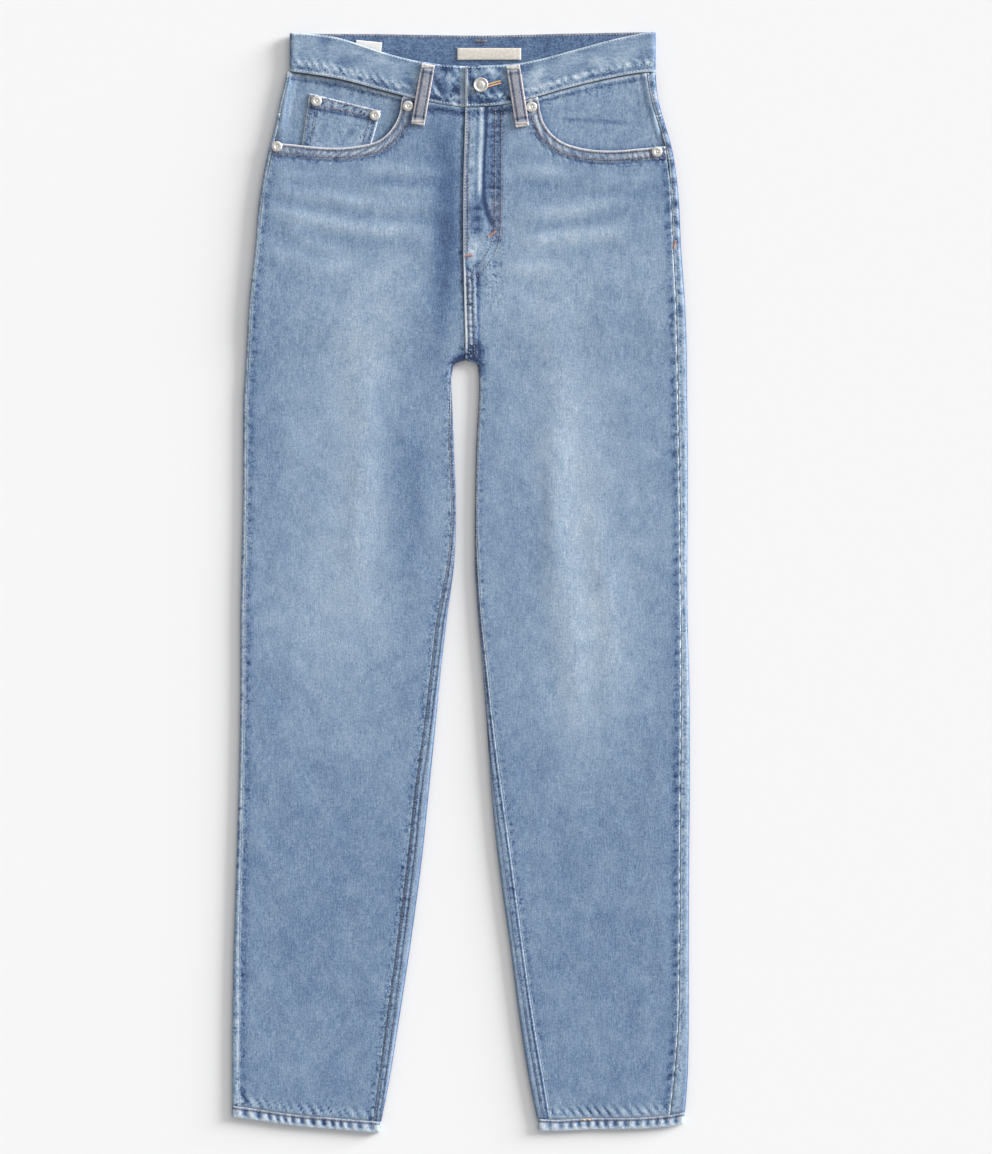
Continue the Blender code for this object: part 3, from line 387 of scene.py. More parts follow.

# %% [markdown]
# Stone washing takes the blue off where cloth rubs: the thighs fade, the shins stay dark.
# A painted value holds this at each point of the cloth, together with painted shade in
# folds, grooves and on edges: 0 is the plain washed blue, +1 is nearly white and -1 is a
# deep dark blue. Soft ovals place the fading, and some dark ones paint shade.

# %% Fades of the wash, and painted shade
# side, middle x, middle y, half width, half height, amount
# ovals with a negative amount darken: those beside the fly and on the inner thighs are painted shade
FADES_AND_SHADE = (
    (RIGHT, -78.0, 262.0, 50.0, 80.0, 0.26),
    (RIGHT, -108.0, 95.0, 46.0, 150.0, 0.23),
    (RIGHT, -128.0, -60.0, 55.0, 110.0, 0.16),
    (RIGHT, -50.0, 110.0, 22.0, 130.0, -0.28),
    (RIGHT, -190.0, 130.0, 24.0, 130.0, -0.08),
    (RIGHT, -14.0, 345.0, 14.0, 120.0, -0.66),
    (RIGHT, -34.0, 440.0, 30.0, 60.0, -0.22),
    (RIGHT, -30.0, 270.0, 22.0, 60.0, -0.14),
    (RIGHT, -10.0, 250.0, 9.0, 60.0, 0.26),
    (RIGHT, -205.0, 100.0, 22.0, 300.0, -0.02),
    (RIGHT, -140.0, -330.0, 90.0, 210.0, -0.06),
    (RIGHT, -150.0, 380.0, 60.0, 60.0, -0.06),
    (LEFT, 104.0, 165.0, 46.0, 85.0, 0.22),
    (LEFT, 124.0, 10.0, 40.0, 140.0, 0.33),
    (LEFT, 70.0, 285.0, 45.0, 55.0, 0.24),
    (LEFT, 128.0, -120.0, 42.0, 90.0, 0.20),
    (LEFT, 150.0, 330.0, 60.0, 60.0, 0.06),
    (LEFT, 190.0, 120.0, 24.0, 260.0, 0.02),
    (LEFT, 60.0, 60.0, 24.0, 140.0, -0.06),
    (LEFT, 150.0, -340.0, 90.0, 200.0, -0.05),
    (LEFT, 150.0, 395.0, 50.0, 22.0, -0.16),
)


def fades_and_shade(side, x, y):
    total = -0.12 * smooth(20.0, -260.0, y)
    for owner, mx, my, rx, ry, amount in FADES_AND_SHADE:
        if owner == side:
            total += amount * math.exp(-((x - mx) / rx) ** 2 - ((y - my) / ry) ** 2)
    return total + 0.10 * drift(x / 45.0, y / 70.0, 21.0)


print("fades:", len(FADES_AND_SHADE))

# %% [markdown]
# Cloth pieces start as a created grid. Each vertex is then laid on its place, which a
# pattern maker would call truing the piece, and gets its painted fading and shade. A Solidify
# modifier gives the real wall, inwards, so the face that shows stays where the chart says.

# %% Lay a grid of cloth
flat_sizes = {}


def finish_mesh(name, bm, material):
    mesh = bpy.data.meshes.new(name)
    bm.to_mesh(mesh)
    bm.free()
    mesh.shade_smooth()
    piece = bpy.data.objects.new(name, mesh)
    piece.data.materials.append(material)
    bpy.context.scene.collection.objects.link(piece)
    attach(piece, "root")
    return piece


def lay_grid(rows):
    """A created grid moved to rows of (x, y, z) in millimetres, then fading and shade, rub and crinkle."""
    bm = bmesh.new()
    high, wide = len(rows) - 1, len(rows[0]) - 1
    bmesh.ops.create_grid(bm, x_segments=wide, y_segments=high, size=1.0)
    wash_and_shade = bm.verts.layers.float.new("wash_and_shade")
    rub = bm.verts.layers.float.new("rub")
    crinkle = bm.verts.layers.float.new("crinkle")
    for vert in bm.verts:
        i = round((vert.co.y + 1.0) / 2.0 * high)
        j = round((vert.co.x + 1.0) / 2.0 * wide)
        x, y, z, tone, *more = rows[i][j]
        vert.co = Vector((x, y, z)) * MM
        vert[wash_and_shade] = tone
        vert[rub], vert[crinkle] = more if more else (0.0, 0.1)
    bm.normal_update()
    return bm


def cut_size(rows):
    """Flat width and length of the laid cloth, in metres."""
    width = max(sum(math.dist(a[:3], b[:3]) for a, b in zip(row, row[1:])) for row in rows)
    columns = list(zip(*rows))
    length = max(sum(math.dist(a[:3], b[:3]) for a, b in zip(line, line[1:])) for line in columns)
    return width * MM, length * MM


def cloth(name, rows, material, node, wall=DENIM, facing=1.0):
    bm = lay_grid(rows)
    bm.faces.ensure_lookup_table()
    if bm.faces[0].normal.z * facing < 0.0:
        bmesh.ops.reverse_faces(bm, faces=bm.faces)
    area = sum(face.calc_area() for face in bm.faces)
    width, length = cut_size(rows)
    piece = finish_mesh(name, bm, material)
    thick = piece.modifiers.new("wall", "SOLIDIFY")
    thick.thickness = wall * MM
    thick.offset = -1.0
    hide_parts(node)
    flat_sizes[name] = (round(width, 3), round(length, 3), round(area, 4))
    print(name, "cut", flat_sizes[name], "m, faces", len(piece.data.polygons))
    return piece


def spread(count, crowd):
    """Shares from 0 to 1 that crowd together at both ends."""
    return [k / count - crowd * math.sin(math.tau * k / count) / math.tau for k in range(count + 1)]


# %% [markdown]
# Denim is a twill: blue warp threads over white weft threads, in fine diagonal lines. At
# arm's length it shows as a speckle with upright slubs. The effect is a node group, used
# by every denim piece. It adds the speckle to the painted fading and shade, turns the sum
# into a colour with a ramp, and puts out a height for the bump.

# %% Twill as a shader node group


def twill_group():
    group = bpy.data.node_groups.new("washed_twill", "ShaderNodeTree")
    for name, kind, default in (("Wash_and_shade", "NodeSocketFloat", 0.0), ("Speckle", "NodeSocketFloat", 1.0),
                                ("Turn", "NodeSocketFloat", 0.0), ("Warmth", "NodeSocketFloat", 0.0),
                                ("Crinkle", "NodeSocketFloat", 0.0)):
        socket = group.interface.new_socket(name=name, in_out="INPUT", socket_type=kind)
        socket.default_value = default
    for name, kind in (("Color", "NodeSocketColor"), ("Height", "NodeSocketFloat")):
        group.interface.new_socket(name=name, in_out="OUTPUT", socket_type=kind)
    nodes, links = group.nodes, group.links
    source = nodes.new("NodeGroupInput")
    result = nodes.new("NodeGroupOutput")
    place = nodes.new("ShaderNodeTexCoord")
    turn = nodes.new("ShaderNodeVectorRotate")
    turn.rotation_type = "Z_AXIS"
    links.new(place.outputs["Object"], turn.inputs["Vector"])
    links.new(source.outputs["Turn"], turn.inputs["Angle"])
    total = source.outputs["Wash_and_shade"]

    def math_node(kind, a, b):
        node = nodes.new("ShaderNodeMath")
        node.operation = kind
        for k, value in enumerate((a, b)):
            if isinstance(value, float):
                node.inputs[k].default_value = value
            else:
                links.new(value, node.inputs[k])
        return node.outputs[0]

    def centred(value, amount):
        return math_node("MULTIPLY", math_node("SUBTRACT", value, 0.5), amount)

    heights = []
    # stretch across, stretch along, scale, detail, amount
    for across, upward, scale, detail, amount in ((1.0, 0.5, 900.0, 2.0, 1.25), (1.0, 0.16, 560.0, 2.0, 0.75),
                                                  (1.0, 0.8, 50.0, 2.0, 0.40), (0.3, 1.0, 620.0, 1.0, 0.35)):
        stretch = nodes.new("ShaderNodeMapping")
        stretch.inputs["Scale"].default_value = (across, upward, across)
        links.new(turn.outputs["Vector"], stretch.inputs["Vector"])
        speck = nodes.new("ShaderNodeTexNoise")
        speck.inputs["Scale"].default_value = scale
        speck.inputs["Detail"].default_value = detail
        speck.inputs["Roughness"].default_value = 0.62
        links.new(stretch.outputs["Vector"], speck.inputs["Vector"])
        part = math_node("MULTIPLY", centred(speck.outputs["Fac"], amount), source.outputs["Speckle"])
        total = math_node("ADD", total, part)
        heights.append(speck.outputs["Fac"])
    lines = nodes.new("ShaderNodeMapping")
    lines.inputs["Rotation"].default_value = (0.0, 0.0, math.radians(-27.0))
    links.new(turn.outputs["Vector"], lines.inputs["Vector"])
    twill = nodes.new("ShaderNodeTexWave")
    twill.inputs["Scale"].default_value = 330.0
    twill.inputs["Distortion"].default_value = 1.2
    twill.inputs["Detail"].default_value = 1.0
    twill.inputs["Detail Scale"].default_value = 1.5
    links.new(lines.outputs["Vector"], twill.inputs["Vector"])
    total = math_node("ADD", total, centred(twill.outputs["Fac"], 0.16))
    # sharp little ridges where the seams bunch the cloth, in the bump and in the colour:
    # pale crests, as rubbed wear, and painted shade in the troughs between them
    bunch = nodes.new("ShaderNodeTexNoise")
    bunch.inputs["Scale"].default_value = 210.0
    bunch.inputs["Detail"].default_value = 2.0
    bunch.inputs["Distortion"].default_value = 0.8
    links.new(turn.outputs["Vector"], bunch.inputs["Vector"])
    fold = math_node("ABSOLUTE", math_node("SUBTRACT", bunch.outputs["Fac"], 0.5), 0.0)
    fold = math_node("SUBTRACT", 0.42, math_node("MULTIPLY", fold, 7.0))
    fold = math_node("MULTIPLY", fold, source.outputs["Crinkle"])
    total = math_node("ADD", total, fold)
    share = math_node("ADD", math_node("MULTIPLY", total, 0.5), 0.5)
    ramp = nodes.new("ShaderNodeValToRGB")
    ramp.color_ramp.interpolation = "LINEAR"
    stops = ((0.0, (0.035, 0.058, 0.130)), (0.22, (0.090, 0.150, 0.280)), (0.38, (0.152, 0.232, 0.365)),
             (0.50, (0.225, 0.318, 0.452)), (0.66, (0.325, 0.420, 0.545)), (0.84, (0.480, 0.572, 0.668)),
             (1.0, (0.690, 0.750, 0.805)))
    elements = ramp.color_ramp.elements
    while len(elements) < len(stops):
        elements.new(0.5)
    for element, (position, colour) in zip(elements, stops):
        element.position = position
        element.color = (*colour, 1.0)
    links.new(share, ramp.inputs["Fac"])
    warm = nodes.new("ShaderNodeMix")
    warm.data_type = "RGBA"
    warm.blend_type = "MULTIPLY"
    warm.inputs[7].default_value = (1.16, 0.86, 0.72, 1.0)
    links.new(source.outputs["Warmth"], warm.inputs[0])
    links.new(ramp.outputs["Color"], warm.inputs[6])
    links.new(warm.outputs[2], result.inputs["Color"])
    weave = math_node("ADD", math_node("MULTIPLY", twill.outputs["Fac"], 0.5), heights[0])
    links.new(math_node("ADD", weave, fold), result.inputs["Height"])
    return group


TWILL = twill_group()
print("group sockets:", [item.name for item in TWILL.interface.items_tree])

# %% [markdown]
# Each denim piece then has its own material. It reads the painted fading and shade, passes
# it through the group and adds a constant offset, because a waistband or a facing was
# rubbed more or less than a leg. Cotton has a soft sheen and no gloss.

# %% Denim materials


def denim(name, offset=0.0, speckle=1.0, turn=0.0, bump=0.35, warmth=0.0):
    material = bpy.data.materials.new(name)
    material.use_nodes = True
    nodes, links = material.node_tree.nodes, material.node_tree.links
    shader = nodes["Principled BSDF"]
    shader.inputs["Roughness"].default_value = 0.9
    shader.inputs["Specular IOR Level"].default_value = 0.18
    shader.inputs["Sheen Weight"].default_value = 0.12
    shader.inputs["Sheen Roughness"].default_value = 0.5
    painted = nodes.new("ShaderNodeAttribute")
    painted.attribute_name = "wash_and_shade"
    shift = nodes.new("ShaderNodeMath")
    shift.operation = "ADD"
    shift.inputs[1].default_value = offset
    links.new(painted.outputs["Fac"], shift.inputs[0])
    twill = nodes.new("ShaderNodeGroup")
    twill.node_tree = TWILL
    twill.inputs["Speckle"].default_value = speckle
    twill.inputs["Turn"].default_value = turn
    rubbed = nodes.new("ShaderNodeAttribute")
    rubbed.attribute_name = "rub"
    warm = nodes.new("ShaderNodeMath")
    warm.operation = "ADD"
    warm.inputs[1].default_value = warmth
    links.new(rubbed.outputs["Fac"], warm.inputs[0])
    links.new(warm.outputs[0], twill.inputs["Warmth"])
    bunched = nodes.new("ShaderNodeAttribute")
    bunched.attribute_name = "crinkle"
    links.new(bunched.outputs["Fac"], twill.inputs["Crinkle"])
    links.new(shift.outputs[0], twill.inputs["Wash_and_shade"])
    links.new(twill.outputs["Color"], shader.inputs["Base Color"])
    relief = nodes.new("ShaderNodeBump")
    relief.inputs["Strength"].default_value = bump
    relief.inputs["Distance"].default_value = 0.0004
    links.new(twill.outputs["Height"], relief.inputs["Height"])
    links.new(relief.outputs["Normal"], shader.inputs["Normal"])
    return material


LEG_DENIM = denim("leg_denim")
BAND_DENIM = denim("band_denim", offset=-0.05, turn=math.radians(88.0))
FACING_DENIM = denim("facing_denim", offset=-0.10)
POCKET_DENIM = denim("pocket_denim", offset=-0.02)
LOOP_DENIM = denim("loop_denim", offset=0.02, speckle=0.8, warmth=0.52)
print("denims made")

# %% [markdown]
# The front panel runs from the waistband seam and the scooped pocket mouth down to the
# hem. Its relief is small: the creases of the hips, the doubled hem of the mouth, the
# raised fly on the wearer's left, and puckers along every seam. The same function paints
# the fading and the shade: what stands proud is rubbed pale, what lies deep stays blue
# and gets painted shade as well.

# %% Front panels
MOUTH_HEM = 12.0
FLY_WIDTH = 19.0
FELL_WIDTH = 12.5
COLUMNS = 86
FAN_ROWS = 26
ROW_STEP = 3.0
FAR_AWAY = 99.0


def mouth_distance(side, x, y):
    best = 1e9
    line = SOFT_MOUTH[side]
    for (ax, ay), (bx, by) in zip(line, line[1:]):
        span = (bx - ax) ** 2 + (by - ay) ** 2
        s = min(max(((x - ax) * (bx - ax) + (y - ay) * (by - ay)) / span, 0.0), 1.0)
        best = min(best, math.hypot(x - ax - s * (bx - ax), y - ay - s * (by - ay)))
    return best


def fly_level(side, inward, y):
    strength = smooth(FLY_FOOT - 40.0, FLY_FOOT + 8.0, y)
    if side == LEFT:
        step = 0.8 * (1.0 - smooth(FLY_WIDTH, FLY_WIDTH + 14.0, inward))
        groove = -0.45 * bell(inward - 21.5, 1.8) * smooth(360.0, 380.0, y)
        return strength * (step + groove)
    return -strength * 0.7 * (1.0 - smooth(0.5, 9.0, inward))


class Look:
    """What a point of cloth gets: relief in millimetres, fading and painted shade, thread rub and crinkle."""

    def __init__(self, relief, tone):
        self.relief = relief
        self.tone = tone
        self.rub = 0.0
        self.crinkle = 0.06


def ridges(distance, *rows):
    """A sum of soft ridges, each with its place, half width and amount."""
    return sum(amount * bell(distance - place, half) for place, half, amount in rows)


def outseam_look(look, side, out, y):
    """Puckers beside the outseam, and the pale line rubbed along it."""
    pull = rhythm(y + 0.5 * out, 13.0, 31.0 + sign(side))
    look.relief -= 0.55 * pull * math.exp(-max(out, 0.0) / 6.0)
    look.tone -= (0.70 if side == LEFT else 0.40) * pull * bell(out - 4.6, 2.8)
    look.tone += ridges(out, (0.0, 1.3, 0.95), (5.0, 4.0, -0.16))
    look.crinkle += 0.45 * bell(out - 3.0, 4.0)
    if side == LEFT:
        look.tone -= 0.5 * rhythm(y, 19.0, 32.0) * bell(out - 1.0, 4.0) * smooth(240.0, 300.0, y)


def inseam_look(look, side, inward, y):
    pull = rhythm(y - 0.4 * inward, 9.0, 41.0 + sign(side))
    # the pale worn rim of the inner edge is left off the wearer's right leg, whose inner edge faces the light:
    # painted shade
    rim_wear_and_shade = 0.60 if side == LEFT else 0.0
    look.relief -= 0.35 * pull * math.exp(-max(inward, 0.0) / 5.0)
    look.tone += ridges(inward, (0.0, 1.4, rim_wear_and_shade), (4.0, 2.6, -0.40 * pull))
    look.crinkle += 0.35 * bell(inward - 2.0, 4.0)


def above_hem_look(look, side, x, above):
    pull = rhythm(x + 0.75 * above, 9.6, 101.0 + sign(side))
    look.crinkle += 0.3 * bell(above - 4.0, 6.0)
    look.tone += ridges(above, (0.0, 2.0, 0.75), (7.0, 5.0, 0.50 - 1.5 * pull))
    look.relief += ridges(above, (1.5, 2.0, 0.3), (6.0, 5.0, -0.35 * pull))


def mouth_look(look, x, y, mouth):
    """The doubled edge of a pocket mouth, its two rows of thread and the puckers below."""
    flat = smooth(MOUTH_HEM + 0.6, MOUTH_HEM - 0.8, mouth)
    beat = rhythm(x + 0.3 * y, 6.3, 51.0)
    below = 0.55 * (rhythm(x + 0.5 * y, 8.0, 52.0) - 0.4)
    look.relief += flat * (0.5 + 0.4 * (beat - 0.5))
    look.relief += ridges(mouth, (2.9, 1.0, -0.3), (9.6, 1.0, -0.3), (MOUTH_HEM + 1.2, 1.2, -0.3))
    look.crinkle += 0.3 * flat + 0.4 * bell(mouth - 14.5, 3.5)
    look.rub += 0.2 * flat + ridges(mouth, (3.0, 1.6, 0.6), (9.6, 1.8, 0.6))
    look.tone += flat * (0.08 + 1.3 * (beat ** 0.5 - 0.3) * bell(mouth - 6.3, 2.2))
    # the dark lines 3.2 mm in and just below the hem's edge are painted shade in its grooves
    look.tone += ridges(mouth, (0.0, 1.6, 1.15), (3.2, 1.2, -0.45), (9.8, 1.3, 0.55 * (beat - 1.2)),
                        (MOUTH_HEM + 1.0, 1.2, -0.45), (MOUTH_HEM + 3.0, 2.6, below))


def under_band_look(look, x, under):
    look.crinkle += 0.55 * bell(under - 7.0, 6.0)
    # the dark line 6 mm below the band is painted shade in the dip there
    look.tone += ridges(under, (2.6, 1.2, 0.55), (6.0, 3.4, -0.75), (12.0, 6.0, 0.30 * rhythm(x, 15.0, 61.0)))
    look.relief += ridges(under, (2.6, 1.6, 0.3), (6.0, 3.0, -0.3))


def fly_look(look, inward, y):
    """The lapped edge, the long fold and the two curved rows of the fly."""
    shown = smooth(FLY_FOOT - 52.0, FLY_FOOT - 42.0, y)
    upper = smooth(378.0, 392.0, y)
    lower = shown * (1.0 - upper)
    beat = rhythm(y, 11.0, 71.0)
    fine = rhythm(y, 4.7, 72.0)
    dots = 0.5 + 0.5 * math.cos(math.tau * y / 6.6 + 1.4 * drift(y / 15.0, 0.0, 74.0))
    strip = smooth(FLY_WIDTH + 0.8, FLY_WIDTH - 1.6, inward)
    slanted_fold = inward - 20.0 - (384.0 - y) * 0.33
    look.tone += 1.6 * bell(inward, 1.7) * smooth(CROTCH, CROTCH + 14.0, y)
    look.tone += shown * ridges(inward, (3.6, 1.5, -0.75 * (0.4 + fine)), (8.0, 4.0, 0.35 * (fine - 0.4)))
    # the dark line 20.6 mm in is painted shade in the groove beside the raised strip
    look.tone += shown * upper * (0.20 * strip + ridges(
        inward, (12.6, 1.6, -0.5), (16.6, 1.7, 0.7), (20.6, 1.4, -1.5),
        (25.0, 4.5, -0.55 * (0.3 + 1.3 * beat)), (29.0, 1.6, -0.85 * dots), (35.5, 1.6, -0.85 * dots)))
    look.tone -= shown * 0.50 * (0.45 + beat) * bell(inward - 34.0, 5.5) * smooth(326.0, 350.0, y)
    # the slanted fold has no relief: its dark line is painted shade
    look.tone -= lower * 1.2 * bell(slanted_fold, 2.8) * smooth(350.0, 360.0, y)
    look.tone -= lower * 0.9 * bell(inward - 14.0, 5.0) * (0.35 + beat) * smooth(342.0, 354.0, y)
    look.tone += shown * 0.65 * bell(y - 333.0, 12.0) * bell(inward - 11.0, 9.0)
    look.tone -= 1.1 * bell(inward - 14.5, 4.0) * bell(y - 306.0, 22.0) * (0.3 + beat)
    look.relief += shown * 0.3 * fine * bell(inward - 5.0, 4.0)
    thread = ridges(inward, (29.4, 2.0, 1.0), (35.8, 2.0, 1.0))
    look.rub += smooth(340.0, 350.0, y) * (0.8 - 0.5 * upper) * thread
    look.rub += shown * 0.2 * bell(inward - 3.6, 1.8)
    look.crinkle += shown * ridges(inward, (6.0, 7.0, 0.35), (31.0, 9.0, 0.5))
    look.crinkle += 0.2 * bell(inward - 15.0, 13.0) * bell(y - 316.0, 26.0)


def centre_seam_look(look, inward, y):
    """The felled seam between the fly and the crotch, with its ladder of threads."""
    below = smooth(FLY_FOOT - 6.0, FLY_FOOT - 18.0, y) * smooth(CROTCH - 1.0, CROTCH + 4.0, y)
    fell = smooth(FELL_WIDTH + 1.2, FELL_WIDTH - 1.2, inward)
    rung = 0.5 + 0.5 * math.cos(math.tau * y / 5.4)
    edge_wear = 0.55 * smooth(250.0, 275.0, y)
    look.relief += below * fell * (0.5 + 0.3 * rung)
    look.tone += below * ridges(inward, (1.6, 1.5, 0.9), (3.8, 1.2, -0.95), (6.3, 1.7, 1.5 * rung - 0.2),
                                (8.8, 1.3, -0.9), (11.0, 1.6, edge_wear), (13.8, 1.4, -0.8))
    look.rub += below * 0.15 * bell(inward - 6.3, 5.0)
    look.crinkle += below * 0.6 * bell(inward - 8.0, 7.0)


def crotch_look(look, x, y):
    """Painted shade in the knot of cloth where four seams meet, with paler rings for its folds."""
    ring = math.hypot(x - 12.0, y - 230.0)
    arcs = 0.5 + 0.5 * math.cos(math.tau * ring / 4.4)
    look.tone -= (2.6 - 2.1 * arcs) * bell(ring, 9.0)
    look.tone -= 2.6 * bell(math.hypot(x, 1.4 * (y - 222.0)), 6.0)
    look.tone -= 1.6 * bell(math.hypot(0.8 * (x - 15.0), y - 214.0), 6.0)
    look.crinkle += 0.5 * bell(math.hypot(x - 6.0, y - 226.0), 14.0)


def front_face(side, x, y):
    """Relief in millimetres, then fading and painted shade, rub and crinkle of a front panel at a point."""
    toward = sign(side)
    out = (edge(side, OUTSEAM, y) - x) * toward
    inward = (x - edge(side, INSEAM, y)) * toward
    mouth = mouth_distance(side, x, y) if y > 370.0 else FAR_AWAY
    under = read(FRONT_BAND, BAND_SEAM, x) - y if y > 400.0 else FAR_AWAY
    above = y - hem_edge(side, x) - HEM_DEPTH
    rise, light = creases(side, x, y)
    keep = smooth(16.0, 34.0, mouth) * smooth(3.0, 18.0, out) * smooth(3.0, 24.0, inward)
    waves = 0.35 * drift(x / 26.0, y / 34.0, 1.0) + 0.14 * drift(x / 9.0, y / 12.0, 2.0)
    tone = fades_and_shade(side, x, y) + light + 0.10 * drift(x / 12.0, y / 15.0, 3.0)
    look = Look(keep * (rise + waves) + fly_level(side, inward, y), tone)
    outseam_look(look, side, out, y)
    if y < CROTCH + 6.0:
        inseam_look(look, side, inward, y)
    if above < 30.0:
        above_hem_look(look, side, x, above)
    if mouth < MOUTH_HEM + 8.0:
        mouth_look(look, x, y, mouth)
    if under < 26.0:
        under_band_look(look, x, under)
    if side == LEFT:
        fly_look(look, inward, y)
        centre_seam_look(look, inward, y)
    else:
        # painted shade along the centre edge of the wearer's right front, beside the fly
        look.tone -= 0.45 * bell(inward, 2.6) * smooth(240.0, 300.0, y)
        look.crinkle += 0.3 * bell(inward - 1.0, 5.0)
    if y < CROTCH + 41.0:
        crotch_look(look, x, y)
    return look.relief, look.tone, look.rub, min(look.crinkle, 1.0)


def front_top(side, x, y):
    return lift(y) + loft(y) + front_face(side, x, y)[0]


def front_start(side, y):
    """Where a front panel begins in the middle: under the fly on the right, at its edge on the left."""
    lap = 12.0 * smooth(324.0, 332.0, y) if side == RIGHT else 0.0
    return edge(side, INSEAM, y) + sign(side) * (0.15 - lap)


def front_rows(side):
    toward = sign(side)
    shares = spread(COLUMNS, 0.62)
    first = Row(side, FLAT_ROW)
    start = front_start(side, 475.0)
    corner_x = SOFT_MOUTH[side][-1][0]
    edge_line = []
    for k in range(13):
        x = start + (corner_x - start) * k / 12
        edge_line.append((x, read(FRONT_BAND, BAND_SEAM, x) - 0.5))
    edge_line += list(reversed(SOFT_MOUTH[side]))[1:]
    edge_line[-1] = (edge(side, OUTSEAM, edge_line[-1][1]) - toward * 0.15, edge_line[-1][1])
    upper = [along(edge_line, share) for share in shares]
    lower = []
    for share in shares:
        x = front_start(side, FLAT_ROW) * (1 - share) + (first.outseam - toward * 0.15) * share
        lower.append((x, FLAT_ROW))
    rows = []
    for i in range(FAN_ROWS):
        part = (i / FAN_ROWS) ** 1.25
        line = []
        for a, b in zip(upper, lower):
            x, y = a[0] + (b[0] - a[0]) * part, a[1] + (b[1] - a[1]) * part
            relief, *look = front_face(side, x, y)
            line.append((x, y, lift(y) + loft(y) + relief, *look))
        rows.append(line)
    hem_top = hem_level(side) + HEM_DEPTH + 0.15
    count = round((FLAT_ROW - hem_top) / ROW_STEP)
    for i in range(count + 1):
        row = Row(side, FLAT_ROW + (hem_top - FLAT_ROW) * i / count)
        begin = front_start(side, row.height) if row.above_crotch else row.inseam + toward * 0.15
        end = row.outseam - toward * 0.15
        line = []
        for share in shares:
            x = begin + (end - begin) * share
            y = row.y(x)
            relief, *look = front_face(side, x, y)
            line.append((x, y, row.top(x) + relief, *look))
        rows.append(line)
    return rows


for side in (RIGHT, LEFT):
    cloth("front_panel_" + side, front_rows(side), LEG_DENIM, "front_" + side)

# %% [markdown]
# The back panel is a little wider than the front, so it comes round both edges of the leg
# and meets the front on top. One row of it is a strip on the front face, a half turn, the
# flat underside, and at the inseam another half turn and strip. Above the crotch it stops
# at the centre back seam instead.

# %% Back panels and yokes
ARC = 7
STRIP = 5
UNDER = 52
CENTRE_STEP = 1.2


def wrapped_side(row, seam, place):
    """Points (x, z, distance from the seam) from a seam on top round to the underside."""
    toward = math.copysign(1.0, row.middle - place)
    middle_x = place + toward * row.radius
    middle_z = row.base + row.radius
    inside = abs(seam - place)
    points = []
    if inside > row.radius + 0.4:
        flat = inside - row.radius + 0.15
        for k in range(STRIP):
            x = seam - toward * (0.15 + (flat - 0.3) * k / STRIP)
            points.append((x, row.base + row.loft, flat * k / STRIP))
        begin, walked = math.pi / 2, flat
    else:
        begin = math.acos(min(max((row.radius - inside) / row.radius, 0.0), 1.0)) - 0.15 / row.radius
        walked = 0.0
        for k in range(STRIP):
            angle = begin - 0.3 * begin * k / STRIP
            points.append((middle_x - toward * row.radius * math.cos(angle),
                           middle_z + row.radius * math.sin(angle), row.radius * (begin - angle)))
        walked = 0.3 * begin * row.radius
        begin *= 0.7
    for k in range(ARC + 1):
        angle = begin - (begin + math.pi / 2) * k / ARC
        points.append((middle_x - toward * row.radius * math.cos(angle),
                       middle_z + row.radius * math.sin(angle), walked + row.radius * (begin - angle)))
    return points


# across, height, half length, half width, slant, depth, fade
BACK_CREASES = (
    (-75.0, 282.0, 62.0, 6.0, 0.16, 0.9, 0.30),
    (-92.0, 262.0, 55.0, 7.0, 0.10, 0.7, 0.24),
    (95.0, 278.0, 66.0, 6.0, -0.14, 0.9, 0.30),
    (108.0, 256.0, 50.0, 7.0, -0.08, 0.6, 0.22),
    (-150.0, -20.0, 48.0, 7.0, 0.22, 0.8, 0.26),
    (-120.0, -46.0, 60.0, 6.0, 0.12, 0.9, 0.28),
    (-140.0, -78.0, 52.0, 8.0, -0.06, 0.6, 0.20),
    (130.0, -14.0, 52.0, 7.0, -0.20, 0.8, 0.26),
    (145.0, -42.0, 46.0, 6.0, -0.10, 0.9, 0.30),
    (120.0, -74.0, 58.0, 8.0, 0.08, 0.6, 0.20),
)


def back_creases(side, x, y):
    """Depth and tone of the folds under the seat and behind the knees."""
    depth, light = 0.0, 0.0
    for mx, my, half_long, half_wide, slant, deep, fade in BACK_CREASES:
        if mx * sign(side) > 0.0:
            across = y - my - slant * (x - mx) + 2.0 * drift(x / 25.0, my, 10.0)
            share = bell(x - mx, half_long)
            depth += deep * share * bell(across - 1.8 * half_wide, half_wide)
            light += fade * share * ridges(across, (0.0, half_wide, 1.3), (1.8 * half_wide, half_wide, -1.0))
    return depth, light


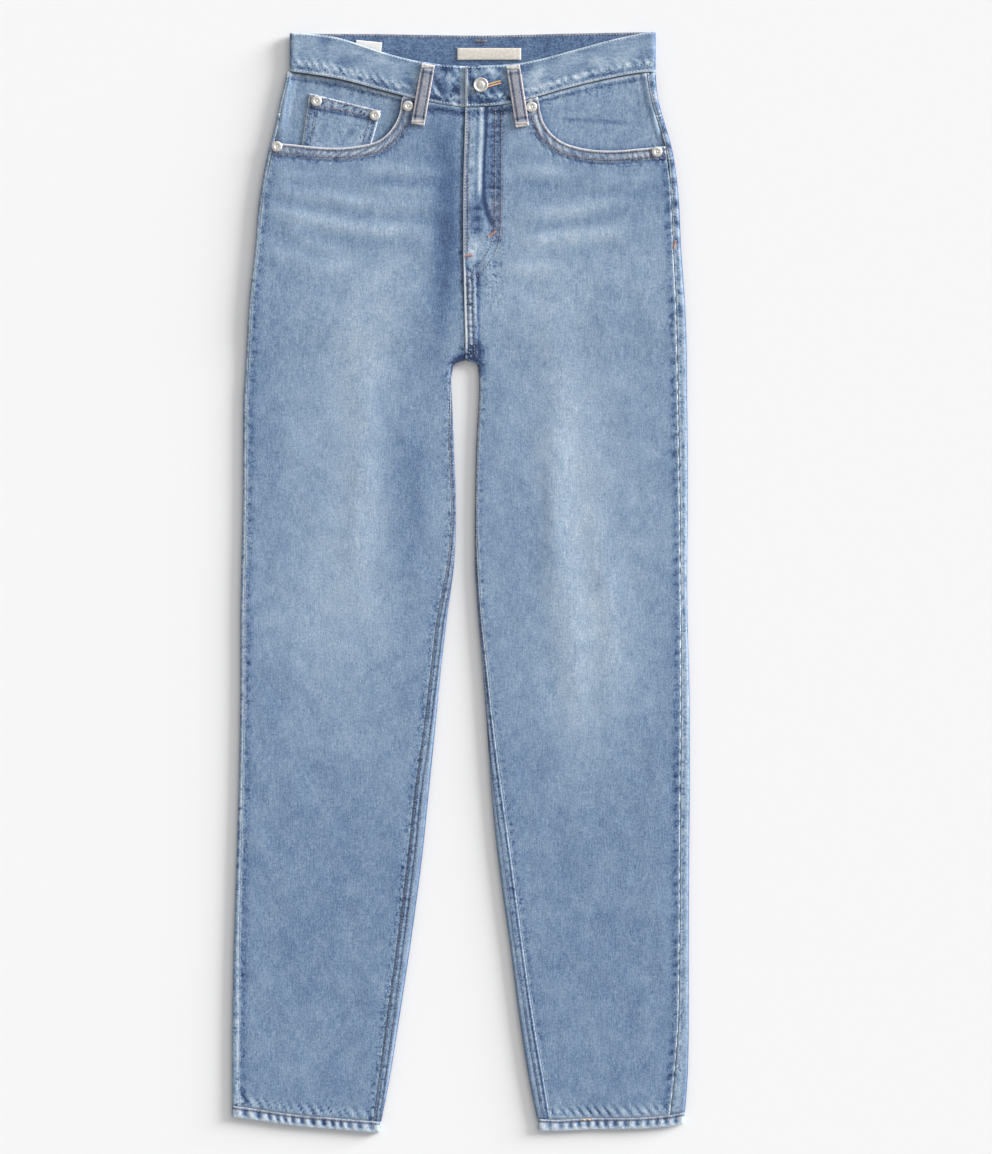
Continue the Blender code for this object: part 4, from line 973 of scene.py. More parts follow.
def back_face(side, x, y, down=0.0, walk=0.0, seam=None):
    """Fading and painted shade, rub and crinkle of a back panel.

    down is the drop from the top and walk the distance from the seam, where one is near.
    """
    tone = 0.8 * fades_and_shade(side, x, y) + 0.12 * drift(x / 14.0, y / 20.0, 6.0)
    # painted shade on the turn round the edge of the leg
    tone -= 1.1 * smooth(0.7, 2.8, down) * smooth(6.0, 4.8, down)
    if seam is None:
        return tone + 0.10 * drift(x / 60.0, y / 90.0, 7.0) + back_creases(side, x, y)[1], 0.0, 0.08
    # more painted shade on the turns that face the light: the wearer's left outseam and right inseam
    if (seam == OUTSEAM) == (side == LEFT):
        tone -= 0.65 * smooth(0.1, 1.2, down)
    if seam == OUTSEAM:
        pull = rhythm(y, 15.0, 81.0 + sign(side))
        tone += ridges(walk, (1.0, 1.6, 0.60), (2.6, 2.2, -0.45 * pull), (6.5, 3.0, 0.40))
        if side == LEFT:
            tone -= 1.25 * rhythm(y, 19.0, 85.0) * bell(walk - 4.0, 3.4) * smooth(235.0, 285.0, y)
    else:
        pull = rhythm(y, 8.5, 83.0 + sign(side))
        tone += ridges(walk, (0.6, 1.0, 0.50), (2.6, 1.0, -0.80), (5.0, 1.4, 0.45), (5.0, 4.0, -0.40 * pull),
                       (7.6, 1.1, -0.70), (10.0, 2.0, 0.35))
        # painted shade on the back's crotch cloth, which lies between the legs
        tone -= 1.3 * smooth(202.0, 216.0, y)
    return tone, 0.0, 0.08 + 0.5 * bell(walk - 3.0, 5.0)


def back_row(row):
    toward = sign(row.side)
    top = row.base + row.loft
    line = []
    for x, z, walk in wrapped_side(row, row.outseam, row.outer):
        y = row.y(x)
        line.append((x, y, z, *back_face(row.side, x, y, top - z, walk, OUTSEAM)))
    start = line[-1][0]
    stop = seam_x(row.height) + toward * (CENTRE_STEP * (ARC + STRIP) + 0.15)
    if not row.above_crotch:
        stop = row.inner + toward * row.radius
    for k in range(1, UNDER):
        x = start + (stop - start) * k / UNDER
        y = row.y(x)
        dent = back_creases(row.side, x, y)[0] + 0.5 * max(drift(x / 30.0, y / 60.0, 8.0), 0.0)
        dent += 0.5 * max(drift(x / 70.0, y / 25.0, 9.0) - 0.1, 0.0)
        dent *= smooth(0, 6, k) * smooth(UNDER, UNDER - 6, k)
        line.append((x, y, row.base + dent, *back_face(row.side, x, y)))
    if row.above_crotch:
        for k in range(ARC + STRIP + 1):
            x = stop - toward * CENTRE_STEP * k
            pull = rhythm(row.height, 9.0, 84.0)
            tone = back_face(row.side, x, row.height)[0]
            tone += ridges(x - seam_x(row.height), (0.0, 1.3, 0.3), (toward * 5.0, 4.0, -0.35 * pull))
            line.append((x, row.height, row.base, tone, 0.0, 0.3))
    else:
        for x, z, walk in reversed(wrapped_side(row, row.inseam, row.inner)):
            y = row.y(x)
            line.append((x, y, z, *back_face(row.side, x, y, top - z, walk, INSEAM)))
    return line


def yoke_line(side, x):
    middle = seam_x(440.0)
    reach = min(abs(x - middle) / abs(edge(side, OUTER, 470.0) - middle), 1.0)
    centre = read(BACK_BAND, BAND_SEAM, middle) - 70.0
    outer = read(BACK_BAND, BAND_SEAM, edge(side, OUTER, 510.0)) - 42.0
    return centre + (outer - centre) * reach


def slanted(side, count, upper, lower):
    rows = []
    for i in range(count + 1):
        part = i / count
        height = upper(edge(side, OUTER, 480.0)) * (1 - part) + lower(edge(side, OUTER, 440.0)) * part
        line = []
        for k, (x, _, z, tone, rub, crinkle) in enumerate(back_row(Row(side, height))):
            y = upper(x) * (1 - part) + lower(x) * part
            if k <= ARC + STRIP:
                x += edge(side, OUTSEAM, y) - edge(side, OUTSEAM, height)
            else:
                x += (seam_x(y) - seam_x(height)) * (1.0 - smooth(0.0, 60.0, abs(x - seam_x(height))))
            down = upper(x) - y
            tone += ridges(down, (0.0, 1.6, 0.5), (6.0, 5.0, -0.35 * rhythm(x, 11.0, 91.0)))
            line.append((x, y, z, tone, rub, crinkle + 0.4 * bell(down - 4.0, 6.0)))
        rows.append(line)
    return rows


def back_rows(side):
    rows = slanted(side, 24, lambda x: yoke_line(side, x) - 0.15, lambda x: FLAT_ROW)
    hem_top = hem_level(side) + HEM_DEPTH + 0.15
    heights = []
    count = round((FLAT_ROW - 222.5) / 3.2)
    heights += [FLAT_ROW + (222.5 - FLAT_ROW) * k / count for k in range(1, count + 1)]
    heights += [219.5, 217.0, 214.5, 212.0, 209.5, 206.5, 203.0, 200.0]
    count = round((200.0 - hem_top) / 3.2)
    heights += [200.0 + (hem_top - 200.0) * k / count for k in range(1, count + 1)]
    return rows + [back_row(Row(side, height)) for height in heights]


for side in (RIGHT, LEFT):
    cloth("back_panel_" + side, back_rows(side), LEG_DENIM, "back_" + side)
    upper = lambda x: read(BACK_BAND, BAND_SEAM, x) - 0.6
    lower = lambda x: yoke_line(side, x) + 0.15
    cloth("yoke_cloth_" + side, slanted(side, 16, upper, lower), LEG_DENIM, "yoke_" + side)

# %% [markdown]
# The hem is the cloth folded up twice and stitched. The stitching drags the fold along, so
# the hem twists into a rope of slanting puckers. A closed ring of cloth does this: stations
# round the leg, each a flat loop, with the puckers raised on the outer face.

# %% Tubes of cloth


def tube(name, stations, material, node, closed):
    """A grid rolled into a tube: each station is one loop of (x, y, z, fading and shade, rub, crinkle)."""
    rows = [ring + ring[:1] for ring in stations]
    if closed:
        rows.append(rows[0])
    bm = lay_grid(rows)
    bmesh.ops.remove_doubles(bm, verts=bm.verts, dist=0.00001)
    open_edges = [e for e in bm.edges if e.is_boundary]
    if open_edges:
        bmesh.ops.holes_fill(bm, edges=open_edges, sides=0)
    bmesh.ops.recalc_face_normals(bm, faces=bm.faces)
    piece = finish_mesh(name, bm, material)
    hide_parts(node)
    print(name, "faces", len(piece.data.polygons))
    return piece


HEM_WALL = DENIM * 1.6
# depth from the lower edge, step in from the outer face
HEM_LOOP = ((11.4, 0.0), (10.2, -0.15), (9.2, 0.05), (7.0, -0.15), (4.5, -0.2), (2.0, -0.15), (0.6, 0.05),
            (0.0, 0.6), (0.0, 1.1), (0.6, HEM_WALL), (5.0, HEM_WALL), (11.4, HEM_WALL))


def hem_stations(side):
    toward = sign(side)
    row = Row(side, hem_level(side) + HEM_DEPTH / 2)
    radius = row.radius
    start, stop = row.outer - toward * radius, row.inner + toward * radius
    turns = [(start + (stop - start) * k / 110, math.pi / 2, 0.0) for k in range(111)]
    turns += [(stop, math.pi / 2 - math.pi * k / 9, -toward) for k in range(1, 9)]
    turns += [(stop + (start - stop) * k / 40, -math.pi / 2, 0.0) for k in range(41)]
    turns += [(start, -math.pi / 2 + math.pi * k / 9, toward) for k in range(1, 9)]
    rings = []
    for x, angle, turn in turns:
        up = max(math.sin(angle), 0.0)
        ring = []
        for depth, step_in in HEM_LOOP:
            outside = step_in < 1.0
            beat = rhythm(x + 0.12 * depth, 9.8, 101.0 + toward) ** 0.45
            swell = 0.7 * (0.25 - beat) * smooth(0.0, 3.0, depth) * smooth(11.4, 8.8, depth) * outside
            reach = radius - step_in
            px = x + turn * reach * math.cos(angle)
            pz = radius + reach * math.sin(angle) + swell * up
            ends = bell((px - row.outer) / 7.0, 1.0) + bell((px - row.inner) / 7.0, 1.0)
            # painted shade where the hem turns round the edges of the leg
            tone = 0.45 + 0.15 * ends - 1.4 * (1.0 - abs(math.sin(angle)))
            tone += ridges(depth, (0.0, 1.8, 0.5), (5.6, 2.6, -1.7 * beat * (1.0 - ends)),
                           (5.6, 3.0, 0.45 * (1.0 - beat)), (9.0, 1.0, -0.9))
            rub = 0.9 * bell(depth - 9.0, 1.0) if outside else 0.0
            py = hem_edge(side, px) + depth
            ring.append((px, py, max(pz, 0.25), tone if outside else -0.1, rub, 0.3))
        rings.append(ring)
    return rings


for side in (RIGHT, LEFT):
    round_leg = 2 * abs(edge(side, OUTER, -540.0) - edge(side, INNER, -545.0))
    tube("hem_cloth_" + side, hem_stations(side), LEG_DENIM, "hem_" + side, True)

# %% [markdown]
# The waistband is one doubled strip. It starts at the lap on the wearer's left, goes round
# the back and ends under the lap. Its stations are loops of four sides, rounded at the
# top fold. Its lower seam is turned in, which leaves a ridge and a row of puckers above it.

# %% Waistband
BAND_MIDDLE = LOFT[1] - DENIM / 2
LAP_EDGE = 4.3
LAP_UNDER = 27.0


def band_level(side, x):
    if side == LEFT:
        return BAND_MIDDLE + 1.3 * (1.0 - smooth(LAP_UNDER + 2.0, LAP_UNDER + 22.0, x))
    return BAND_MIDDLE - 1.35 * smooth(LAP_EDGE - 14.0, LAP_EDGE - 1.0, x)


# share of the height, push out of the middle in half thicknesses
BAND_LOOP = ((0.0, 0.9), (0.03, 1.05), (0.07, 0.95), (0.11, 0.9), (0.15, 0.95), (0.19, 1.05), (0.23, 1.12),
             (0.27, 1.12), (0.31, 1.05), (0.36, 0.98), (0.44, 0.98), (0.55, 1.0), (0.66, 1.0), (0.78, 1.0),
             (0.88, 1.0), (0.93, 1.0), (0.97, 0.95), (0.99, 0.8), (1.0, 0.4), (1.0, -0.4),
             (0.98, -0.85), (0.93, -1.0), (0.75, -1.0), (0.5, -1.0), (0.25, -1.0), (0.03, -1.0), (0.0, -0.7))


def band_ring(x, table, z, angle, walk, front):
    top, low = read(table, BAND_TOP, x), read(table, BAND_SEAM, x)
    across, up = math.cos(angle), math.sin(angle)
    ring = []
    for share, push in BAND_LOOP:
        height = low + (top - low) * share
        outside = push > 0
        beat = rhythm(walk + 34.0 * share, 8.6, 111.0)
        crumple = bell(x - 8.0, 44.0) * front
        blotch = drift(walk / 17.0, share * 3.0, 112.0)
        offset = push * BAND / 2
        if outside:
            crush = crumple * drift(walk / 7.0 + 3.0 * share, share * 2.5, 113.0)
            offset += front * ridges(share, (0.24, 0.10, 0.7 * (beat - 0.4)), (0.6, 0.3, 0.35 * blotch))
            offset += 0.5 * crush * bell(share - 0.45, 0.4)
            tone = 0.18 + 0.60 * blotch
            tone += front * ridges(share, (0.12, 0.05, -0.30 - 0.6 * beat), (0.25, 0.07, 0.50 - 1.1 * beat))
            tone += ridges(share, (0.0, 0.035, 1.0), (0.37, 0.06, -0.35 * beat), (0.90, 0.05, -0.2),
                           (1.0, 0.035, 0.55))
            tone += crumple * (-0.62 + 1.7 * drift(walk / 6.0 + 4.0 * share, share * 4.0, 113.0))
            if walk < 60.0:
                tone += ridges(x - LAP_EDGE, (0.0, 2.4, 1.9), (5.0, 2.0, -0.5))
            crinkle = 0.12 + 0.35 * crumple + 0.6 * front * bell(share - 0.18, 0.14)
        else:
            # the inner face, which shows at the back down inside the waist opening, is painted darker as shade,
            # most near its lower seam
            tone = -0.42 + 0.22 * blotch - 0.25 * bell(share - 0.06, 0.08)
            crinkle = 0.27
        # painted shade where the band turns round its ends
        tone -= 1.3 * (1.0 - abs(up))
        ring.append((x + offset * across, height, z + offset * up, tone, 0.0, min(crinkle, 0.9)))
    return ring


def band_stations():
    left_x, right_x = LEG[LEFT][0][1] - BAND / 2, LEG[RIGHT][0][1] + BAND / 2
    back_z = LIFT + BAND / 2
    radius = (LIFT + BAND_MIDDLE - back_z) / 2
    rings = []
    walk = 0.0
    span = left_x - radius - LAP_EDGE
    count = round(span / 1.8)
    for k in range(count + 1):
        x = LAP_EDGE + span * k / count
        rings.append(band_ring(x, FRONT_BAND, LIFT + band_level(LEFT, x), math.pi / 2, x, 1.0))
    for k in range(1, 8):
        angle = math.pi / 2 - math.pi * k / 8
        rings.append(band_ring(left_x - radius + radius * math.cos(angle), BACK_BAND,
                               back_z + radius + radius * math.sin(angle), angle, 200.0 + k, 0.4))
    span = left_x - right_x - 2 * radius
    count = round(span / 3.0)
    for k in range(count + 1):
        x = left_x - radius - span * k / count
        rings.append(band_ring(x, BACK_BAND, back_z, -math.pi / 2, 210.0 + span * k / count, 0.0))
    for k in range(7, 0, -1):
        angle = math.pi / 2 - math.pi * k / 8
        rings.append(band_ring(right_x + radius - radius * math.cos(angle), BACK_BAND,
                               back_z + radius + radius * math.sin(angle), math.pi - angle, 600.0 + k, 0.4))
    span = LAP_UNDER - right_x - radius
    count = round(span / 1.8)
    for k in range(count + 1):
        x = right_x + radius + span * k / count
        relief = 1.0 if x < LAP_EDGE - 6.0 else 0.0
        rings.append(band_ring(x, FRONT_BAND, LIFT + band_level(RIGHT, x), math.pi / 2, 620.0 + x, relief))
    return rings


tube("waistband_cloth", band_stations(), BAND_DENIM, "waistband", False)

# %% [markdown]
# Behind each pocket mouth a facing of denim shows, and on the wearer's right it carries
# the small coin pocket. Both are made from points of the layer above, moved down by the
# thickness of the cloth between, so they can never cut through it.

# %% Pocket facings and the coin pocket
COIN_STACK = 2 * (DENIM + GAP)
FACING_LAP = 13.0
COIN_HEIGHT = 57.0
COIN_POCKET = ((-151.6, 489.4), (-80.2, 471.6), (-92.0, 430.0), (-160.4, 430.0))


def facing_depth(side):
    """How far a facing lies below the front: under the coin pocket on the wearer's right."""
    return COIN_STACK if side == RIGHT else DENIM + GAP


def facing_top(side, x, y):
    return lift(y) + loft(y) - facing_depth(side)


def facing_rows(side):
    toward = sign(side)
    line = SOFT_MOUTH[side]
    lower = []
    for k, (x, y) in enumerate(line):
        a, b = line[max(k - 1, 0)], line[min(k + 1, len(line) - 1)]
        under = FACING_LAP / math.dist(a, b)
        lower.append((x - toward * abs(b[1] - a[1]) * under, y - abs(b[0] - a[0]) * under))
    start = edge(side, OUTSEAM, 509.0) - toward * 0.35
    stop = lower[-1][0] + toward * 4.0
    rows = []
    for i in range(40):
        v = i / 39
        row = []
        for j in range(64):
            u = j / 63
            tx = start + (stop - start) * u
            ty = read(FRONT_BAND, BAND_SEAM, tx) - 0.5
            bx, by = along(lower, u * 0.93)
            x, y = tx + (bx - tx) * v, ty + (by - ty) * v
            if j == 0:
                x = edge(side, OUTSEAM, y) - toward * 0.35
            mouth = mouth_distance(side, x, y)
            out = (edge(side, OUTSEAM, y) - x) * toward
            # the dark along the mouth and the dark line 5.8 mm below the band are painted shade under the edges
            # above them
            tone = 0.10 + 0.16 * drift(x / 15.0, y / 15.0, 121.0) - 0.5 * bell(mouth, 3.0)
            tone += ridges(ty - y, (2.8, 1.2, 0.8), (5.8, 2.0, -0.55), (9.0, 5.0, 0.25 * rhythm(x, 12.0, 122.0)))
            tone += ridges(out, (0.0, 2.5, 0.5), (6.0, 1.4, -0.2), (9.0, 1.4, 0.3))
            level = facing_top(side, x, y)
            level += 0.85 * facing_depth(side) * bell(out, 5.0) * smooth(7.0, 16.0, mouth)
            if side == LEFT:
                # this fold across the left facing has no relief: its dark line is painted shade
                fold = bell(y - 462.0 + 0.06 * (x - 130.0), 1.8)
                tone -= 0.45 * fold * smooth(92.0, 108.0, x) * smooth(178.0, 158.0, x)
                level += 0.2 * drift(x / 22.0, y / 22.0, 123.0) * smooth(2.0, 14.0, mouth)
            row.append((x, y, level, tone, 0.0, 0.12 + 0.4 * bell(ty - y - 6.0, 6.0)))
        rows.append(row)
    return rows


def coin_point(u, v):
    """Place on the coin pocket: u across and v down, from 0 to 1."""
    a, b, c, d = (Vector(corner) for corner in COIN_POCKET)
    return a.lerp(b, u).lerp(d.lerp(c, u), v)


def coin_rows():
    rows = []
    for i in range(34):
        v = i / 33
        row = []
        for j in range(44):
            u = j / 43
            x, y = coin_point(u, v)
            down = v * COIN_HEIGHT
            side_in = min(u, 1 - u) * 72.0
            flat = smooth(12.6, 11.4, down)
            beat = rhythm(x, 7.0, 131.0)
            z = facing_top(RIGHT, x, y) + GAP + DENIM + flat * (0.4 + 0.25 * (beat - 0.4))
            tone = 0.05 + 0.3 * drift(x / 12.0, y / 12.0, 132.0)
            tone += flat * (0.8 * beat * bell(down - 6.0, 2.6) - 0.1)
            tone += ridges(down, (0.0, 1.4, 0.9), (13.5, 1.4, -0.8))
            tone += ridges(side_in, (0.0, 1.3, 0.95), (4.0, 1.4, -0.6), (9.5, 1.4, -0.35),
                           (13.0, 3.0, 0.35 * rhythm(y, 9.0, 133.0)))
            rub = flat * ridges(down, (2.6, 1.5, 0.8), (9.6, 1.5, 0.8))
            row.append((x, y, z, tone, rub, 0.3 + 0.5 * flat + 0.4 * bell(side_in - 8.0, 6.0)))
        rows.append(row)
    return rows


for side in (RIGHT, LEFT):
    cloth("facing_cloth_" + side, facing_rows(side), FACING_DENIM, "pocket_facing_" + side)
cloth("coin_pocket_cloth", coin_rows(), POCKET_DENIM, "coin_pocket")

# %% [markdown]
# Two patch pockets sit on the back, under the jeans here. They are plain five-sided
# patches with a hem at the top and two rows of stitching round the rest. A patch is a
# grid squeezed to its outline, with its outer face on the table.

# %% Back pockets
UNDER_THREAD = 0.28
POCKET_SIDE = 0.84
BACK_POCKET = {RIGHT: (-88.0, 428.0), LEFT: (108.0, 428.0)}


def pocket_point(side, u, v):
    """Place on a patch: u from -1 to 1 across, v from 0 at the top to 1 at the point."""
    mx, my = BACK_POCKET[side]
    side_share = min(v / POCKET_SIDE, 1.0)
    point_share = max(v - POCKET_SIDE, 0.0) / (1.0 - POCKET_SIDE)
    x = (71.0 - 11.0 * side_share) * u
    y = -118.0 * side_share - 22.0 * point_share * (1.0 - abs(u))
    return mx + sign(side) * (x + 0.03 * y), my + y + 0.10 * x


def patch_rows(side):
    rows = []
    for i in range(49):
        v = i / 48
        row = []
        for j in range(49):
            u = j / 24 - 1.0
            x, y = pocket_point(side, u, v)
            rim = min((1.0 - abs(u)) * 65.0, (1.0 - v) * 140.0)
            tone = 0.12 * drift(x / 25.0, y / 30.0, 141.0) + 0.16 * bell(u, 0.6) * bell(v - 0.45, 0.35)
            tone += ridges(rim, (0.0, 1.6, 0.6), (6.0, 3.0, -0.3 * rhythm(x + y, 8.0, 142.0)))
            tone += ridges(v * 140.0, (0.0, 1.6, 0.6), (17.0, 1.8, -0.3))
            row.append((x, y, UNDER_THREAD, tone, 0.0, 0.1 + 0.5 * bell(rim - 5.0, 5.0)))
        rows.append(row)
    return rows


for side in (RIGHT, LEFT):
    cloth("back_pocket_cloth_" + side, patch_rows(side), POCKET_DENIM, "back_pocket_" + side, facing=-1.0)

# %% [markdown]
# A belt loop is a folded strip of denim with two rows of stitching, which pull it into two
# grooves. Both its ends are tacked down. The front loops lie over the band and slant a
# little, because the front of the waist dips.

# %% Belt loops
LOOP_WIDTH = 13.5
FRONT_LOOPS = {RIGHT: ((-32.6, 517.8), (-43.2, 457.6)), LEFT: ((52.0, 516.8), (61.4, 455.6))}
BACK_LOOPS = (("loop_back_right", -88.0), ("loop_centre_back", 19.5), ("loop_back_left", 124.0))


def loop_face(place):
    """Height and tone across a loop, from -1 to 1, with painted shade in its two grooves."""
    grooves = bell(abs(place) - 0.62, 0.14)
    shade = 0.15 + 0.75 * bell(abs(place) - 0.96, 0.14) - 0.95 * grooves
    return 0.35 * (1.0 - abs(place) ** 6) - 0.4 * grooves, shade


def front_loop_level(side, share):
    over_band = LIFT + BAND_MIDDLE + BAND / 2 + 0.35 + GAP + (0.12 if side == LEFT else 0.0)
    x, y = FRONT_LOOPS[side][1]
    on_panel = LIFT + LOFT[1] + fly_level(side, (x - edge(side, INSEAM, y)) * sign(side), y) + 0.4 + GAP
    return over_band + (on_panel - over_band) * smooth(0.62, 0.84, share)


def front_loop_rows(side):
    (x0, y0), (x1, y1) = FRONT_LOOPS[side]
    length = math.hypot(x1 - x0, y1 - y0)
    ax, ay = (x1 - x0) / length, (y1 - y0) / length
    rows = []
    for i in range(49):
        share = i / 48
        tack = smooth(0.11, 0.08, share) + smooth(0.89, 0.92, share)
        row = []
        for j in range(25):
            place = j / 12 - 1.0
            rise, tone = loop_face(place)
            x = x0 + (x1 - x0) * share - ay * place * LOOP_WIDTH / 2
            y = y0 + (y1 - y0) * share + ax * place * LOOP_WIDTH / 2
            bow = 0.35 * math.sin(math.pi * share)
            z = front_loop_level(side, share) + 1.5 + rise * (1.0 - 0.5 * tack) + bow
            tone = tone * (1.0 - 0.6 * tack) + 0.35 * tack + 0.12 * drift(x / 4.0, y / 9.0, 151.0)
            tone += 0.9 * bell(share * length, 1.6) + 0.9 * bell((1 - share) * length, 2.6)
            tone -= 0.9 * (bell(share - 0.135, 0.014) + bell(share - 0.865, 0.014))
            row.append((x, y, z, tone, 0.35 * (1.0 - tack), 0.25))
        rows.append(row)
    return rows


def back_loop_rows(middle):
    top, foot = read(BACK_BAND, BAND_TOP, middle) - 0.8, read(BACK_BAND, BAND_SEAM, middle) - 16.0
    rows = []
    for i in range(37):
        row = []
        for j in range(21):
            place = j / 10 - 1.0
            rise, tone = loop_face(place)
            x, y = middle + place * LOOP_WIDTH / 2, top + (foot - top) * i / 36
            row.append((x, y, max(0.36 - rise, 0.02), tone))
        rows.append(row)
    return rows


for side in (RIGHT, LEFT):
    cloth("belt_loop_front_" + side, front_loop_rows(side), LOOP_DENIM, "loop_front_" + side, wall=1.4)
for node, middle in BACK_LOOPS:
    cloth("belt_" + node, back_loop_rows(middle), LOOP_DENIM, node, wall=0.75, facing=-1.0)

# %% [markdown]
# Inside the back of the waist lie two woven labels. They stay bare here. Woven tape has a
# fine even weave, so its material is one wave for its bump and a little noise for its colour.

# %% Labels
LABELS = (("label_centre", 28.0, 528.8, 32.0, 6.0, 0.0), ("label_side", -92.5, 536.5, 13.0, 5.2, -0.10))


def woven_tape(name, dark, light):
    material = bpy.data.materials.new(name)
    material.use_nodes = True
    nodes, links = material.node_tree.nodes, material.node_tree.links
    shader = nodes["Principled BSDF"]
    shader.inputs["Roughness"].default_value = 0.75
    place = nodes.new("ShaderNodeTexCoord")
    weave = nodes.new("ShaderNodeTexWave")
    weave.inputs["Scale"].default_value = 520.0
    weave.inputs["Distortion"].default_value = 0.6
    speck = nodes.new("ShaderNodeTexNoise")
    speck.inputs["Scale"].default_value = 700.0
    ramp = nodes.new("ShaderNodeValToRGB")
    ramp.color_ramp.elements[0].position = 0.3
    ramp.color_ramp.elements[0].color = (*dark, 1.0)
    ramp.color_ramp.elements[1].position = 0.7
    ramp.color_ramp.elements[1].color = (*light, 1.0)
    for texture in (weave, speck):
        links.new(place.outputs["Object"], texture.inputs["Vector"])
    links.new(speck.outputs["Fac"], ramp.inputs["Fac"])
    links.new(ramp.outputs["Color"], shader.inputs["Base Color"])
    relief = nodes.new("ShaderNodeBump")
    relief.inputs["Strength"].default_value = 0.3
    relief.inputs["Distance"].default_value = 0.0002
    links.new(weave.outputs["Fac"], relief.inputs["Height"])
    links.new(relief.outputs["Normal"], shader.inputs["Normal"])
    return material


CREAM_TAPE = woven_tape("cream_tape", (0.60, 0.55, 0.48), (0.78, 0.74, 0.67))
WHITE_TAPE = woven_tape("white_tape", (0.70, 0.69, 0.68), (0.86, 0.86, 0.85))
for node, mx, my, half_long, half_high, turn in LABELS:
    rows = []
    for i in range(9):
        row = []
        for j in range(41):
            dx, dy = (j / 20 - 1.0) * half_long, (1.0 - i / 4) * half_high
            bulge = 0.25 * math.sin(math.pi * i / 8) * (1.0 - abs(j / 20 - 1.0) ** 4)
            x = mx + dx * math.cos(turn) - dy * math.sin(turn)
            y = my + dx * math.sin(turn) + dy * math.cos(turn)
            row.append((x, y, LIFT + BAND + GAP + 0.7 + bulge, 0.0))
        rows.append(row)
    cloth(node + "_tape", rows, CREAM_TAPE if turn == 0.0 else WHITE_TAPE, node, wall=0.6)

# %% [markdown]
# Buttons and rivets are pressed metal. A half outline is drawn with a few points and spun
# round its axis. The button has a rim and a shallow dish, a rivet has a burr with a dimple
# where its nail came through.

# %% Button and rivets


def worn_metal(name, colour, dark):
    material = bpy.data.materials.new(name)
    material.use_nodes = True
    nodes, links = material.node_tree.nodes, material.node_tree.links
    shader = nodes["Principled BSDF"]
    shader.inputs["Metallic"].default_value = 0.75
    place = nodes.new("ShaderNodeTexCoord")
    speck = nodes.new("ShaderNodeTexNoise")
    speck.inputs["Scale"].default_value = 900.0
    speck.inputs["Detail"].default_value = 3.0
    ramp = nodes.new("ShaderNodeValToRGB")
    ramp.color_ramp.elements[0].position = 0.35
    ramp.color_ramp.elements[0].color = (*dark, 1.0)
    ramp.color_ramp.elements[1].position = 0.6
    ramp.color_ramp.elements[1].color = (*colour, 1.0)
    gloss = nodes.new("ShaderNodeMapRange")
    gloss.inputs["To Min"].default_value = 0.32
    gloss.inputs["To Max"].default_value = 0.55
    links.new(place.outputs["Object"], speck.inputs["Vector"])
    links.new(speck.outputs["Fac"], ramp.inputs["Fac"])
    links.new(speck.outputs["Fac"], gloss.inputs["Value"])
    links.new(ramp.outputs["Color"], shader.inputs["Base Color"])
    links.new(gloss.outputs["Result"], shader.inputs["Roughness"])
    return material


SILVER = worn_metal("worn_silver", (0.86, 0.84, 0.80), (0.62, 0.59, 0.55))


def spun(name, profile, centre, node, steps):
    bm = bmesh.new()
    verts = [bm.verts.new(Vector((r, 0.0, z)) * MM) for r, z in soften(profile, 1)]
    edges = [bm.edges.new(pair) for pair in zip(verts, verts[1:])]
    bmesh.ops.spin(bm, geom=verts + edges, cent=(0, 0, 0), axis=(0, 0, 1), angle=math.tau, steps=steps,
                   use_merge=True, use_duplicate=False)
    bmesh.ops.remove_doubles(bm, verts=bm.verts, dist=0.000005)
    bmesh.ops.recalc_face_normals(bm, faces=bm.faces)
    bmesh.ops.translate(bm, verts=bm.verts, vec=Vector(centre) * MM)
    piece = finish_mesh(name, bm, SILVER)
    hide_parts(node)
    return piece


def node_seat(node):
    """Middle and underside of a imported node, in millimetres."""
    low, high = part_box(node)
    return ((low[0] + high[0]) / 2 / MM, (low[1] + high[1]) / 2 / MM, low[2] / MM)


# half outlines: out from the axis, height
BUTTON_OUTLINE = [
    (0.0, 0.0), (5.0, 0.0), (5.4, 1.0), (6.9, 1.2), (7.4, 1.7), (7.35, 2.4), (6.9, 2.9), (6.2, 2.9),
    (5.7, 2.4), (4.3, 2.2), (3.4, 2.4), (2.8, 2.8), (1.6, 2.85), (0.0, 2.85),
]
RIVET_OUTLINE = [
    (0.0, 0.0), (4.6, 0.0), (5.3, 0.2), (5.3, 0.7), (4.6, 1.2), (3.0, 1.35), (2.2, 1.25), (1.7, 0.75),
    (1.2, 0.7), (0.9, 1.05), (0.0, 1.1),
]
spun("button_metal", BUTTON_OUTLINE, node_seat("button"), "button", 48)
RIVETS = [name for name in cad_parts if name.startswith("rivet_")]
for name in RIVETS:
    spun(name + "_metal", RIVET_OUTLINE, node_seat(name), name, 28)
print("rivets:", RIVETS)

# %% [markdown]
# Every stitch is its own small spindle of thread, laid along a drawn line on the cloth.
# One is an icosphere, squeezed by the matrix that also turns and places it. A run of them
# is joined into one mesh for each part of the garment.

# %% Threads


